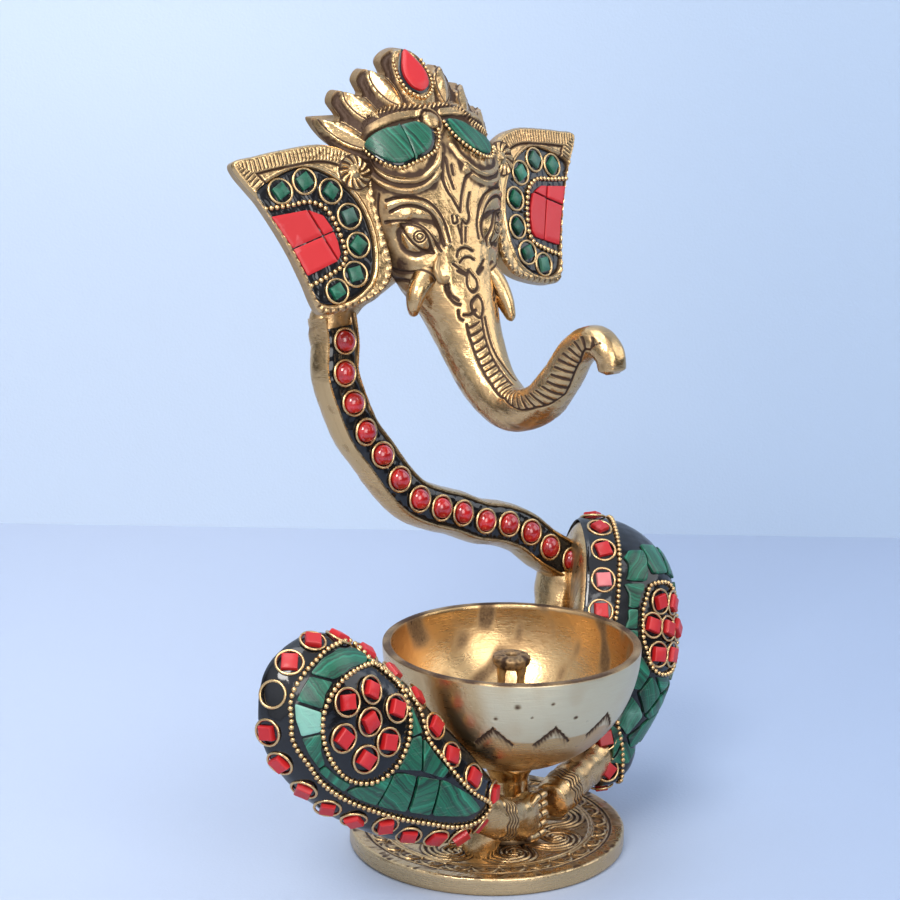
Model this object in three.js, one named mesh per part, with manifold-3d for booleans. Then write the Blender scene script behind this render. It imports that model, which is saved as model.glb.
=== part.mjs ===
// A brass oil lamp in the shape of a seated elephant-headed figure. A round lamp bowl
// lies in its lap, and stones are inlaid on its ears, spine, crown and knees.
// Millimetres, +Z up, origin at the middle of the base's underside.
// The figure faces -Y, and its own right side is -X.
import * as THREE from 'three';
import { mergeVertices } from 'three/addons/utils/BufferGeometryUtils.js';
import Module from 'manifold-3d';

const wasm = await Module();
wasm.setup();

// Clearance between pieces that are laid on one another
const seatGap = 0.3;

// Base plate
const baseDiameter = 86;
const baseThickness = 5.8;
const baseEdgeRound = 0.8;
const baseRimWidth = 4.5;
const baseFieldDepth = 0.6;
const baseTop = baseThickness - baseFieldDepth;

// Lamp bowl, lifted straight out of the lap
const bowlRimRadius = 39.5;
const bowlRimHeight = 68;
const bowlDepth = 38.5;
const bowlWall = 2.6;
const bowlCentreY = -9.8;
const bowlFootRadius = 9;
const bowlBottom = bowlRimHeight - bowlDepth;
const bowlRoomGap = 0.8;
const bowlLift = 24;

// Bowl stand on the base
const standTopRadius = 8;
const standFootRadius = 10;
const standWaistRadius = 6;

// Wick holder inside the bowl
const wickFootRadius = 7;
const wickHeadRadius = 5.9;
const wickPostRadius = 4.6;
const wickHoleRadius = 1.75;
const wickHeadHeight = 4;
const wickTopBelowRim = 5;
const wickSlotWidth = 3.2;
const wickFootHeight = 4;

// Spine: a band that carries a row of round coral stones
const spineWidth = 12.5;
const spineFrontDepth = 3;
const spineRibWidth = 8;
const spineRibDepth = 4.5;
const spineLean = 0.18;
const spineLowY = 22;
const spineLowZ = 78;
const lacThickness = 0.9;
const coralRadius = 3.3;
const coralHeight = 2.6;
const bezelRadius = 4.5;
const bezelWire = 0.9;
const bezelHeight = 1.3;

// Knee inlay
const wireThickness = 1.2;
const chipSize = 3.6;
const chipHeight = 1.9;
const dishRadius = 4.3;
const dishHeight = 1.1;
const linkWidth = 0.8;
const malachiteThickness = 1.3;
const rosetteSpacing = 7.9;
const rosetteDishRadius = 3.4;
const rimChipCount = 22;
const rightKneeOut = 28.5;
const leftKneeOut = 37.7;
const padMiddle = -18;
const toeRadius = 2.4;
const toeSpacing = 3.1;
const lowestToe = [2, -20, 8.6];
const stoneTwist = 1.3;

// Ears
const earThickness = 4.5;
const earSweep = THREE.MathUtils.degToRad(9.8);
const earTilt = THREE.MathUtils.degToRad(17);
const earFrontY = 22.2;
const earMiddleZ = 190;
const earPocketDepth = 1.6;
const earDishRadius = 3.6;

// Crown
const crownThickness = 5.5;
const crownSetForward = 6.5;
const crownLean = 0.79;
const crownCurve = 0.016;
const browStoneHalf = 4.2;

const brassColour = 0xc9a35c;
const lacColour = 0x0c0b0b;
const coralColour = 0xb81c20;
const redColour = 0xc8202a;
const malachiteColour = 0x0a6b4c;

const finish = (color, roughness, metalness) => () => new THREE.MeshStandardMaterial({ color, roughness, metalness });
const brass = finish(brassColour, 0.35, 1);
const lac = finish(lacColour, 0.2, 0);
const coral = finish(coralColour, 0.2, 0);
const redStone = finish(redColour, 0.45, 0);
const malachite = finish(malachiteColour, 0.35, 0);

const lamp = new THREE.Group();
const P = (x, y, z) => new THREE.Vector3(x, y, z);
const radians = THREE.MathUtils.degToRad;

function addPiece(name, geometry, material) {
  const mesh = new THREE.Mesh(geometry, material);
  mesh.name = name;
  lamp.add(mesh);
  return mesh;
}

// Booleans on closed geometries
function toSolid(geometry) {
  const bare = geometry.clone();
  bare.deleteAttribute('normal');
  bare.deleteAttribute('uv');
  const merged = mergeVertices(bare, 1e-4);
  return new wasm.Manifold(new wasm.Mesh({
    numProp: 3,
    vertProperties: new Float32Array(merged.attributes.position.array),
    triVerts: new Uint32Array(merged.index.array),
  }));
}

function toGeometry(solid) {
  const mesh = solid.getMesh();
  const geometry = new THREE.BufferGeometry();
  geometry.setAttribute('position', new THREE.BufferAttribute(mesh.vertProperties, 3));
  geometry.setIndex(new THREE.BufferAttribute(mesh.triVerts, 1));
  return geometry;
}

function joined(...geometries) {
  return toGeometry(geometries.map(toSolid).reduce((a, b) => a.add(b)));
}

function cut(geometry, ...tools) {
  return toGeometry(tools.map(toSolid).reduce((a, b) => a.subtract(b), toSolid(geometry)));
}

// Turns every face round if the closed geometry's volume comes out negative
function outward(geometry) {
  const p = geometry.attributes.position;
  const index = geometry.index.array;
  const corner = (i) => new THREE.Vector3().fromBufferAttribute(p, index[i]);
  let volume = 0;
  for (let i = 0; i < index.length; i += 3) {
    volume += corner(i).dot(corner(i + 1).cross(corner(i + 2)));
  }
  if (volume < 0) {
    for (let i = 0; i < index.length; i += 3) {
      [index[i + 1], index[i + 2]] = [index[i + 2], index[i + 1]];
    }
  }
  return geometry;
}

// A closed skin over rings of equally many points. An open run of rings gets a fan
// over each end, and a closed run joins its last ring to its first
function loft(rings, closedRun = false) {
  const count = rings[0].length;
  const positions = rings.flat().flatMap((p) => [p.x, p.y, p.z]);
  const index = [];
  const runs = closedRun ? rings.length : rings.length - 1;
  for (let i = 0; i < runs; i += 1) {
    const here = i * count;
    const next = ((i + 1) % rings.length) * count;
    for (let j = 0; j < count; j += 1) {
      const k = (j + 1) % count;
      index.push(here + j, here + k, next + k, here + j, next + k, next + j);
    }
  }
  if (!closedRun) {
    const last = (rings.length - 1) * count;
    [rings[0], rings[rings.length - 1]].forEach((ring) => {
      const m = ring.reduce((a, p) => a.add(p), P(0, 0, 0)).divideScalar(count);
      positions.push(m.x, m.y, m.z);
    });
    for (let j = 0; j < count; j += 1) {
      const k = (j + 1) % count;
      index.push(rings.length * count, k, j);
      index.push(rings.length * count + 1, last + j, last + k);
    }
  }
  const geometry = new THREE.BufferGeometry();
  geometry.setAttribute('position', new THREE.Float32BufferAttribute(positions, 3));
  geometry.setIndex(index);
  return outward(geometry);
}

// A turned piece: radius and height pairs round an axis parallel to Z
function turned(profile, segments, x = 0, y = 0) {
  const geometry = new THREE.LatheGeometry(profile.map(([r, z]) => new THREE.Vector2(r, z)), segments);
  geometry.rotateX(Math.PI / 2);
  geometry.translate(x, y, 0);
  return geometry;
}

// A flat plate of a closed outline in X and Z, its front face at y and its back behind it
function plate(outline, front, thickness) {
  const shape = new THREE.Shape(outline.map(([x, z]) => new THREE.Vector2(x, z)));
  const geometry = new THREE.ExtrudeGeometry(shape, { depth: thickness, bevelEnabled: false });
  geometry.rotateX(Math.PI / 2);
  geometry.translate(0, front + thickness, 0);
  return geometry;
}

// Superellipse rings square to a path: half-width a along side, half-depth b across it
function tubeAlong(stations, sides = 20, power = 2) {
  const rings = stations.map((station, i) => {
    const before = stations[Math.max(i - 1, 0)].at;
    const after = stations[Math.min(i + 1, stations.length - 1)].at;
    const along = after.clone().sub(before).normalize();
    const side = (station.side ?? P(1, 0, 0)).clone();
    side.addScaledVector(along, -side.dot(along)).normalize();
    const up = new THREE.Vector3().crossVectors(along, side);
    return Array.from({ length: sides }, (unused, j) => {
      const t = (j / sides) * 2 * Math.PI;
      const c = Math.cos(t);
      const s = Math.sin(t);
      const r = (Math.abs(c) ** power + Math.abs(s) ** power) ** (-1 / power);
      return station.at.clone().addScaledVector(side, station.a * c * r).addScaledVector(up, station.b * s * r);
    });
  });
  return loft(rings);
}

// A wire of three-sided section along a closed or open run of points, each with the
// direction that it stands up in
function wireAlong(places, width, closedRun) {
  const count = places.length;
  const rings = places.map(({ at, up }, i) => {
    const before = places[closedRun ? (i + count - 1) % count : Math.max(i - 1, 0)].at;
    const after = places[closedRun ? (i + 1) % count : Math.min(i + 1, count - 1)].at;
    const side = new THREE.Vector3().crossVectors(after.clone().sub(before), up).normalize();
    return [[-0.5, 0], [0.5, 0], [0, 0.9]].map(([s, h]) => (
      at.clone().addScaledVector(side, s * width).addScaledVector(up, h * width)));
  });
  return loft(rings, closedRun);
}

// Moves a geometry that stands on the origin to a place, standing along its up direction
function standOn({ at, up }, geometry) {
  geometry.applyQuaternion(new THREE.Quaternion().setFromUnitVectors(P(0, 0, 1), up));
  return geometry.translate(at.x, at.y, at.z);
}

// A square stone whose foot is sunk in its setting
function squareStone(place, turn) {
  const stone = new THREE.BoxGeometry(chipSize, chipSize, chipHeight - dishHeight / 2);
  stone.rotateZ(turn);
  stone.translate(0, 0, (chipHeight + dishHeight / 2) / 2);
  return standOn(place, stone);
}

// A low round setting with a square stone on it
function stoneDish(place, radius, turn = 0) {
  return joined(standOn(place, turned([[0, 0], [radius, 0], [radius, dishHeight], [0, dishHeight]], 8)),
    squareStone(place, turn));
}

// Round settings in an open row, joined by short bars between neighbours
function dishRow(places, radius) {
  const dishes = places.map((place, i) => stoneDish(place, radius, i * stoneTwist));
  const links = places.slice(1).map((place, i) => {
    const gap = place.at.clone().sub(places[i].at);
    const ends = [0.15, 0.85].map((share) => ({ at: places[i].at.clone().addScaledVector(gap, share), up: place.up }));
    return wireAlong(ends, linkWidth, false);
  });
  return joined(...dishes, ...links);
}

// Round settings in a closed ring, each a place where one band along the ring widens
// to a circle. A place on the ring is asked for by its share of the way round
function dishRing(placeAt, count, spacing, radius) {
  const widening = [[-1, 0.1], [-0.72, 0.69], [-0.27, 0.96], [0.27, 0.96], [0.72, 0.69], [1, 0.1]];
  const rings = [];
  const stones = [];
  for (let i = 0; i < count; i += 1) {
    widening.forEach(([offset, width]) => {
      const share = (i + 1 + (offset * radius) / spacing) / count;
      const { at, up } = placeAt(share);
      const ahead = placeAt(share + 0.1 / count).at.sub(at);
      const side = new THREE.Vector3().crossVectors(ahead, up).setLength(width * radius);
      const edges = [at.clone().sub(side), at.clone().add(side)];
      rings.push([...edges, ...edges.toReversed().map((p) => p.clone().addScaledVector(up, dishHeight))]);
    });
    stones.push(squareStone(placeAt((i + 1) / count), i * stoneTwist));
  }
  return joined(loft(rings, true), ...stones);
}

// Base plate with a plain rim round a slightly sunk field
{
  const radius = baseDiameter / 2;
  const field = radius - baseRimWidth;
  addPiece('base_plate', turned([
    [0, 0], [radius - baseEdgeRound, 0], [radius, baseEdgeRound], [radius, baseThickness - baseEdgeRound],
    [radius - baseEdgeRound, baseThickness], [field, baseThickness], [field - baseFieldDepth, baseTop], [0, baseTop],
  ], 40), brass());
}

const baseRoom = turned([
  [0, -10], [baseDiameter, -10], [baseDiameter, baseThickness + seatGap],
  [baseDiameter / 2 - baseRimWidth - seatGap, baseThickness + seatGap],
  [baseDiameter / 2 - baseRimWidth - baseFieldDepth - seatGap, baseTop + seatGap], [0, baseTop + seatGap],
], 40);

// The bowl's side: radius and height at a share of the way from its bottom to its rim
function bowlSide(share, radius, bottom) {
  const t = share * (Math.PI / 2);
  return [radius * Math.sin(t) ** 0.9, bottom + (bowlRimHeight - bottom) * (1 - Math.cos(t))];
}

// Bowl: a deep round cup, its inside the same curve a wall's thickness in
{
  const shares = [0.2, 0.32, 0.44, 0.56, 0.68, 0.8, 0.9, 1];
  const outside = shares.map((share) => bowlSide(share, bowlRimRadius, bowlBottom));
  const inside = [0, 0.1, ...shares].map((share) => bowlSide(share, bowlRimRadius - bowlWall, bowlBottom + bowlWall));
  addPiece('bowl', turned([[0, bowlBottom], [bowlFootRadius, bowlBottom], ...outside, ...inside.reverse()], 32,
    0, bowlCentreY), brass());
}

// The room that the bowl needs where it sits and as it is lifted out
const roomShares = [0.3, 0.4, 0.5, 0.6, 0.7, 0.8, 0.9, 1];
const bowlRoom = turned([
  [0, bowlBottom - bowlRoomGap], [bowlFootRadius + bowlRoomGap, bowlBottom - bowlRoomGap],
  ...roomShares.map((share) => bowlSide(share, bowlRimRadius + bowlRoomGap, bowlBottom - bowlRoomGap)),
  [bowlRimRadius + bowlRoomGap, bowlRimHeight + bowlLift], [0, bowlRimHeight + bowlLift],
], 32, 0, bowlCentreY);

// Stand that carries the bowl on the base
{
  const top = bowlBottom - seatGap;
  addPiece('bowl_stand', turned([
    [0, baseTop + seatGap], [standFootRadius, baseTop + seatGap], [standWaistRadius, baseTop + 8],
    [standWaistRadius, top - 5], [standTopRadius, top], [0, top],
  ], 20, 0, bowlCentreY), brass());
}
const standRoom = turned([[0, 0], [standFootRadius + seatGap, 0], [standFootRadius + seatGap, bowlBottom],
  [0, bowlBottom]], 20, 0, bowlCentreY);

// Wick holder: a slotted post with a flat, holed head
{
  const top = bowlRimHeight - wickTopBelowRim;
  const foot = bowlBottom + bowlWall + seatGap + 0.6;
  const neck = top - wickHeadHeight;
  const holder = turned([
    [0, foot], [wickFootRadius, foot], [wickPostRadius, foot + wickFootHeight], [wickPostRadius, neck],
    [wickHeadRadius, neck + 1], [wickHeadRadius, top], [0, top],
  ], 20, 0, bowlCentreY);
  const hole = new THREE.CylinderGeometry(wickHoleRadius, wickHoleRadius, 2 * wickHeadHeight, 14);
  hole.rotateX(Math.PI / 2);
  hole.translate(0, bowlCentreY, top);
  const slotHeight = neck - foot - wickFootHeight;
  const slot = new THREE.BoxGeometry(wickSlotWidth, 4 * wickPostRadius, slotHeight);
  slot.rotateZ(radians(-40));
  slot.translate(0, bowlCentreY, foot + wickFootHeight + slotHeight / 2);
  addPiece('wick_holder', cut(holder, hole, slot), brass());
}

// Spine: it curves from the near ear's tip down behind the bowl to the left knee. The
// stones lie evenly along it, in one slightly leaning plane
const spineStart = [-29.9, 165.5];
const spineEnd = [57.5, 73.5];
const coralPlaces = [[-29.7, 157.2], [-31, 147.8], [-28.8, 138.5], [-25.3, 129.3], [-19.8, 121.5], [-14.2, 113.3],
  [-7.2, 106.1], [1.1, 102], [9.4, 99.1], [18.4, 95.1], [27.8, 92.6], [36.7, 88.5], [44.1, 82.4], [53.1, 76.6]];
const spineBack = P(0, 1, -spineLean).normalize();
const onSpine = ([x, z]) => P(x, spineLowY + (z - spineLowZ) * spineLean, z);
const spineCurve = new THREE.CatmullRomCurve3([spineStart, ...coralPlaces, spineEnd].map(onSpine));

// The spine's path between two shares of its length, swept with a section of points
// across it and behind its front face
function alongSpine(section, from, to, steps) {
  const rings = [];
  for (let i = 0; i <= steps; i += 1) {
    const share = from + (to - from) * (i / steps);
    const at = spineCurve.getPointAt(share);
    const side = new THREE.Vector3().crossVectors(spineCurve.getTangentAt(share), spineBack).normalize();
    rings.push(section.map(([s, d]) => at.clone().addScaledVector(side, s).addScaledVector(spineBack, d)));
  }
  return loft(rings);
}
const slab = (halfWidth, front, back) => [[-halfWidth, front], [halfWidth, front], [halfWidth, back], [-halfWidth, back]];
const spineBackDepth = spineFrontDepth + spineRibDepth;
const spineRoom = (from, to) => (
  alongSpine(slab(spineWidth / 2 + seatGap, -coralHeight - 1, spineBackDepth + seatGap), from, to, 8));
const half = spineWidth / 2;
const rib = spineRibWidth / 2;
const spineBody = (() => {
  const front = lacThickness + seatGap;
  return alongSpine([
    [-half, 0], [-half + 0.8, 0], [-half + 0.8, front], [half - 0.8, front], [half - 0.8, 0], [half, 0],
    [half, spineFrontDepth], [rib, spineFrontDepth], [rib, spineBackDepth], [-rib, spineBackDepth],
    [-rib, spineFrontDepth], [-half, spineFrontDepth],
  ], 0, 1, 24);
})();
// The neck runs on from the spine's top, behind the near ear, into the back of the head
const neck = tubeAlong([[-30, 43.8, 160, 5.4, 3], [-28.6, 43, 168, 6, 3.4], [-22.5, 38.6, 177, 6.5, 4],
  [-13, 31, 186, 7, 4]].map(([x, y, z, a, b]) => ({ at: P(x, y, z), a, b })), 12);
{
  addPiece('spine_lac', alongSpine(slab(half - 0.8 - seatGap, 0, lacThickness), 0.03, 0.995, 24), lac());
  const across = spineBack.clone().negate();
  const turnOut = new THREE.Quaternion().setFromUnitVectors(P(0, 0, 1), across);
  const onLac = (place) => onSpine(place).addScaledVector(across, seatGap);
  const rings = coralPlaces.map((place) => {
    const inner = bezelRadius - bezelWire;
    const ring = turned([[inner, 0], [bezelRadius, 0], [bezelRadius - bezelWire / 2, bezelHeight], [inner, 0]], 8);
    ring.applyQuaternion(turnOut);
    return ring.translate(...onLac(place));
  });
  const links = coralPlaces.slice(1).map((place, i) => {
    const from = onLac(coralPlaces[i]);
    const to = onLac(place);
    const gap = to.clone().sub(from).setLength(bezelRadius - bezelWire / 2);
    return wireAlong([from.add(gap), to.sub(gap)].map((at) => ({ at, up: across })), bezelWire, false);
  });
  addPiece('spine_bezels', joined(...rings, ...links), brass());
  coralPlaces.forEach((place, i) => {
    const stone = turned([[0, 0], [coralRadius, 0], [coralRadius * 0.92, coralHeight * 0.5],
      [coralRadius * 0.55, coralHeight * 0.9], [0, coralHeight]], 8);
    stone.applyQuaternion(turnOut);
    stone.translate(...onLac(place));
    addPiece(`coral_stone_${String(i + 1).padStart(2, '0')}`, stone, coral());
  });
}

// Head and trunk: rings from the back of the crown over the face and down the trunk,
// each with its middle's y and z, its half-width and its half-depth
const headStations = [
  [42, 227, 15, 2.5], [38, 221, 21, 5.5], [33, 210, 23.4, 9.5], [30.5, 198, 24.3, 11.5], [28, 188, 22, 12],
  [24, 178, 18, 11.5], [18, 168, 13, 10], [11, 156, 10, 8.5], [3, 146, 8.5, 7.5], [-8, 140.5, 7.5, 6.5],
  [-20, 144.5, 7, 6], [-29, 154, 6.3, 5.5], [-36, 163.5, 5.6, 5], [-43, 167, 5, 4.5], [-48.5, 164, 4.5, 4],
  [-50, 158.5, 4, 3.5],
];
const eyeSize = [5.2, 2, 3];
const headSides = 18;
const headPower = 2.2;
function headSkin(growth) {
  const path = new THREE.CatmullRomCurve3(headStations.map(([y, z]) => P(0, y, z)));
  const sizes = new THREE.CatmullRomCurve3(headStations.map(([, , a, b]) => P(a, b, 0)));
  const steps = 22;
  const stations = [];
  for (let i = 0; i <= steps; i += 1) {
    const size = sizes.getPoint(i / steps);
    stations.push({ at: path.getPoint(i / steps), a: size.x + growth, b: size.y + growth });
  }
  return tubeAlong(stations, headSides, headPower);
}

// The place straight behind a spot in front of the face, on a skin round the head
function faceOf(skin) {
  const caster = new THREE.Raycaster();
  const mesh = new THREE.Mesh(skin);
  return (x, z) => {
    caster.set(P(x, -100, z), P(0, 1, 0));
    return caster.intersectObject(mesh)[0].point;
  };
}

// The crown: leaves stand up round a band that leans back and curves round the head. The
// leaves' outline is given across and up from the head's top station
const [[crownMiddleY, crownBaseZ]] = headStations;
const crownBaseY = crownMiddleY - crownSetForward;
const crownHalf = [[27, -13], [31.7, -3.5], [25, -3], [23.2, 4.3], [17, 3], [13.9, 10.2], [8, 8.5], [5, 14], [0, 16.5]]
  .map(([x, rise]) => [x, crownBaseZ + rise]);
const crownEdge = [...crownHalf.map(([x, z]) => [-x, z]), ...crownHalf.slice(0, -1).reverse()];
const crownFront = (x, z) => crownBaseY + crownLean * (z - crownBaseZ) + crownCurve * x * x;
function crownSkin(growth) {
  return loft(crownEdge.map(([edgeX, edgeZ], i) => {
    const t = Math.PI * (1 - i / (crownEdge.length - 1));
    const [innerX, innerZ] = [20 * Math.cos(t), crownBaseZ - 17 + 10 * Math.sin(t)];
    const reach = Math.hypot(edgeX - innerX, edgeZ - innerZ);
    const [x, z] = [edgeX + (edgeX - innerX) * (growth / reach), edgeZ + (edgeZ - innerZ) * (growth / reach)];
    const rows = [0, 0.5, 1].map((share) => [x + (innerX - x) * share, z + (innerZ - z) * share]);
    const front = rows.map(([rx, rz]) => P(rx, crownFront(rx, rz) - growth, rz));
    const back = rows.map(([rx, rz]) => P(rx, crownFront(rx, rz) + crownThickness + growth, rz)).reverse();
    return [...front, ...back];
  }));
}
{
  const [, browZ, browHalf] = headStations[2];
  const [, eyeZ, eyeHalf] = headStations[4];
  const browRidge = [[0.92, -6, 1.2], [0.81, -2.5, 1.6], [0.56, -3.5, 1.8], [0.3, -10, 1.6], [0.19, -16, 1]];
  const tusk = (side, stations) => tubeAlong(stations.map(([x, y, z, r]) => ({ at: P(x, y, z), a: r, b: r, side })), 8);
  const rightTusk = tusk(P(0, 1, 0), [[-10, 20, 180, 2.6], [-17, 17.5, 175.5, 2.3], [-20.2, 17, 171, 1.7],
    [-19.5, 18, 166.5, 0.8]]);
  const leftTusk = tusk(P(0, 1, 0), [[8, 19, 181, 3], [11, 14.5, 176, 2.8], [12, 10.5, 170, 2.2], [12, 7, 163.2, 1]]);
  const onFace = faceOf(headSkin(0));
  const brow = (sign) => tubeAlong(browRidge.map(([share, rise, r]) => (
    { at: onFace(sign * share * browHalf, browZ + rise), a: r, b: r, side: P(0, 1, 0) })), 6);
  const eye = (sign) => {
    const ball = new THREE.SphereGeometry(1, 10, 6);
    ball.scale(...eyeSize);
    ball.rotateY(sign * radians(-14));
    const { x, y, z } = onFace(sign * 0.6 * eyeHalf, eyeZ + 1.8);
    return ball.translate(x, y, z);
  };
  addPiece('head', joined(headSkin(0), crownSkin(0), rightTusk, leftTusk, brow(-1), brow(1), eye(-1), eye(1)), brass());
}

// Crown inlay, in the leaning plane of the middle leaf: x across, h up the slope, and
// rise off its surface
const leafUp = P(0, crownLean, 1).normalize();
const leafOut = P(0, -1, crownLean).normalize();
const onLeaf = (x, h, rise) => P(x, crownFront(0, crownBaseZ), crownBaseZ).addScaledVector(leafUp, h)
  .addScaledVector(leafOut, rise);
{
  const drop = [[0, 5], [3, 6.6], [4.2, 9.5], [3.6, 12.5], [1.8, 16], [0, 18.5], [-1.8, 16], [-3.6, 12.5],
    [-4.2, 9.5], [-3, 6.6]];
  const layer = (scale, rise) => drop.map(([x, h]) => onLeaf(x * scale, 11 + (h - 11) * scale, rise));
  addPiece('crown_stone', loft([layer(1, seatGap), layer(1, 1.6), layer(0.8, 2.4)]), redStone());
  const bend = new THREE.CatmullRomCurve3([[-5.2, 15], [-6, 10], [-4.6, 5.2], [0, 2.6], [4.6, 5.2], [6, 10], [5.2, 15]]
    .map(([x, h]) => onLeaf(x, h, seatGap)));
  addPiece('crown_wire', wireAlong(bend.getPoints(14).map((at) => ({ at, up: leafOut })), wireThickness, false), brass());
}

// Brow stones: an eye-shaped stone above each brow, with a bead wire under it, both
// following the skin of the head and crown, which the spine's neck is let into as well
const headRoom = joined(headSkin(seatGap), crownSkin(seatGap));
addPiece('spine', cut(joined(spineBody, neck), headRoom), brass());
{
  const onSkin = faceOf(headRoom);
  const [, browZ, browHalf] = headStations[2];
  const halfHeight = (u) => browStoneHalf * Math.sqrt(1.03 - u * u);
  for (const [side, sign] of [['right', -1], ['left', 1]]) {
    const normal = P(sign * 0.3, -0.75, 0.6).normalize();
    const onBrow = (u, v, rise) => onSkin(sign * browHalf * (0.53 + 0.37 * u), browZ + 7 - 3.2 * u + v)
      .addScaledVector(normal, rise);
    const steps = [-1, -0.75, -0.5, -0.25, 0, 0.25, 0.5, 0.75, 1];
    const lens = steps.map((u) => {
      const h = halfHeight(u);
      return [onBrow(u, -h, 0.4), onBrow(u, -h, 1.4), onBrow(u, 0, 2), onBrow(u, h, 1.4), onBrow(u, h, 0.4),
        onBrow(u, 0, 0.4)];
    });
    addPiece(`${side}_brow_stone`, loft(lens), malachite());
    const line = steps.map((u) => ({ at: onBrow(u, -halfHeight(u) - 1, 0), up: normal }));
    addPiece(`${side}_brow_wire`, wireAlong(line, 1, false), brass());
  }
}

// Ears: plates swept back and tilted with their lower ends forward, each with a sunk field
// of lac and its inlay. Positions run outward along the plate and up it
const earOutline = [[69.2, 214], [61.5, 216], [53.4, 217.3], [40.2, 218.4], [32.3, 216.3], [25.3, 211.4], [24, 200.9],
  [22.3, 188.9], [21.5, 180], [25, 174.1], [36, 169.6], [44.5, 168.3], [47.3, 169.2], [50.9, 178.9], [54.4, 188],
  [61.5, 201.6]];
const earField = [[60.5, 206], [55.5, 209.8], [46.7, 212.2], [38, 209.2], [31, 202.5], [27.6, 195], [26.6, 186.5],
  [28.6, 177.5], [34.5, 172.5], [42, 170.6], [46.3, 172.6], [49.3, 180], [52.8, 188.5], [59.6, 201.4]];
const earDishes = [[54.9, 205.3], [46.7, 207.8], [38.6, 204.4], [33.5, 196.6], [31.8, 187.9], [34, 179.4], [40.7, 174.8]];
const earWire = [[57.6, 200.2], [52.6, 200.9], [46, 201.6], [41.3, 199.5], [38.7, 195.2], [37.1, 189.7], [36.5, 185.2],
  [37.9, 182.3], [42.6, 179.7], [46.9, 177.4]];
const earPatch = [[56.2, 197.6], [47, 199.3], [42.2, 197.3], [39.9, 193.5], [38.6, 189.5], [38.2, 185.6], [39.3, 183.7],
  [46.8, 178.9], [52, 188]];
for (const [side, sign] of [['right', -1], ['left', 1]]) {
  const place = (geometry) => geometry.translate(0, 0, -earMiddleZ).rotateX(-earTilt).rotateZ(sign * earSweep)
    .translate(0, earFrontY, earMiddleZ);
  const mirrored = (points) => points.map(([x, z]) => [sign * x, z]);
  const shrunk = (points, gap) => {
    const middle = points.reduce(([a, b], [x, z]) => [a + x / points.length, b + z / points.length], [0, 0]);
    return points.map(([x, z]) => {
      const reach = Math.hypot(x - middle[0], z - middle[1]);
      return [middle[0] + (x - middle[0]) * (1 - gap / reach), middle[1] + (z - middle[1]) * (1 - gap / reach)];
    });
  };
  const pocket = plate(mirrored(earField), -1, earPocketDepth + 1);
  const body = place(cut(plate(mirrored(earOutline), 0, earThickness), pocket));
  addPiece(`${side}_ear`, cut(body, headRoom), brass());
  const lacFront = earPocketDepth - seatGap - lacThickness;
  const bed = place(plate(mirrored(shrunk(earField, 2 * seatGap)), lacFront, lacThickness));
  addPiece(`${side}_ear_lac`, cut(bed, headRoom), lac());
  const up = P(0, -1, 0);
  const onBed = ([x, z]) => ({ at: P(sign * x, lacFront - seatGap, z), up });
  addPiece(`${side}_ear_settings`, place(dishRow(earDishes.map(onBed), earDishRadius)), brass());
  addPiece(`${side}_ear_wire`, place(wireAlong(earWire.map(onBed), 1, false)), brass());
  addPiece(`${side}_ear_red_patch`, place(plate(mirrored(earPatch), lacFront - seatGap - 1.3, 1.3)), redStone());
}

// Knees: a drop-shaped dome on each leg. The rim's points run round the drop, each
// with its place along and across and how deep the rim lies behind the crest
const rightRim = [[29, 0.9, 12], [25.5, 11.9, 12], [17, 20.6, 12], [3, 25.2, 12], [-14, 26.1, 12], [-31, 23.8, 12],
  [-44, 20.1, 11], [-55, 13.7, 10], [-59.6, 5.5, 9], [-57.5, -4.1, 7], [-47, -7.3, 5], [-27, -11.4, 6],
  [-9, -15.7, 9], [9, -16.5, 12], [21.5, -12.8, 12]];
const leftRim = [[29, 0.8, 28], [25.5, 10.4, 28], [17, 18, 28], [3, 22, 28], [-14, 22.8, 28], [-31, 20.8, 27],
  [-42, 17.6, 25], [-51, 12, 23], [-55, 4.8, 22], [-53.5, -3.6, 22], [-45, -6.4, 23], [-27, -10, 26],
  [-9, -13.8, 28], [9, -14.4, 28], [21.5, -11.2, 28]];
// Each leg's limb and rest are tubes, given by x, y, z, half-width and half-depth
const knees = [
  {
    side: 'right', rim: rightRim, edge: 92, back: 9, oval: [-1.9, 3.6, 15.6, 12.4],
    middle: P(-bowlRimRadius - rightKneeOut, -25.8, 63.8), along: P(-0.771, 0.104, 0.628),
    across: P(-0.637, -0.093, -0.766), facing: P(-0.022, -0.99, 0.138),
    limb: [[-38, -21, 34, 6, 7], [-27, -22, 26, 6, 7], [-17, -22.5, 19.5, 6, 6.4], [-8, -21.5, 16, 5, 6.6],
      [-3, -20.5, 15, 4.6, 7.6], [0.5, -20, 14.8, 4, 7.6]],
    rest: [[-14, -22, 0, 11, 7], [-14, -22, 8, 10.5, 7], [-13, -22, 12, 8, 6], [-12, -22, 15, 5, 4]],
    toes: 5,
  },
  {
    side: 'left', rim: leftRim, edge: 102, back: 5, oval: [-6.4, 6.4, 14.6, 10.4],
    middle: P(bowlRimRadius + leftKneeOut, -2.7, 59.4), along: P(0.357, 0.304, 0.906),
    across: P(0.477, 0.87, -0.125), facing: P(0.866, -0.49, -0.103),
    limb: [[46, -4, 23, 7, 7], [36, -8, 20, 6.5, 6.5], [26, -12, 18.5, 6, 6], [17, -15.5, 17, 6, 6],
      [9.5, -18, 15.5, 5.5, 6]],
    rest: [[26, 20, 0, 8, 7], [27, 21, 10, 6, 5], [38, 23, 36, 5, 4.5], [49, 24, 56, 5.5, 4.5], [53, 24.8, 66, 6, 4.2]],
    toes: 0,
  },
];
const crestFrom = -42;
const crestTo = 3;
const crestAcross = 4;

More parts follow.
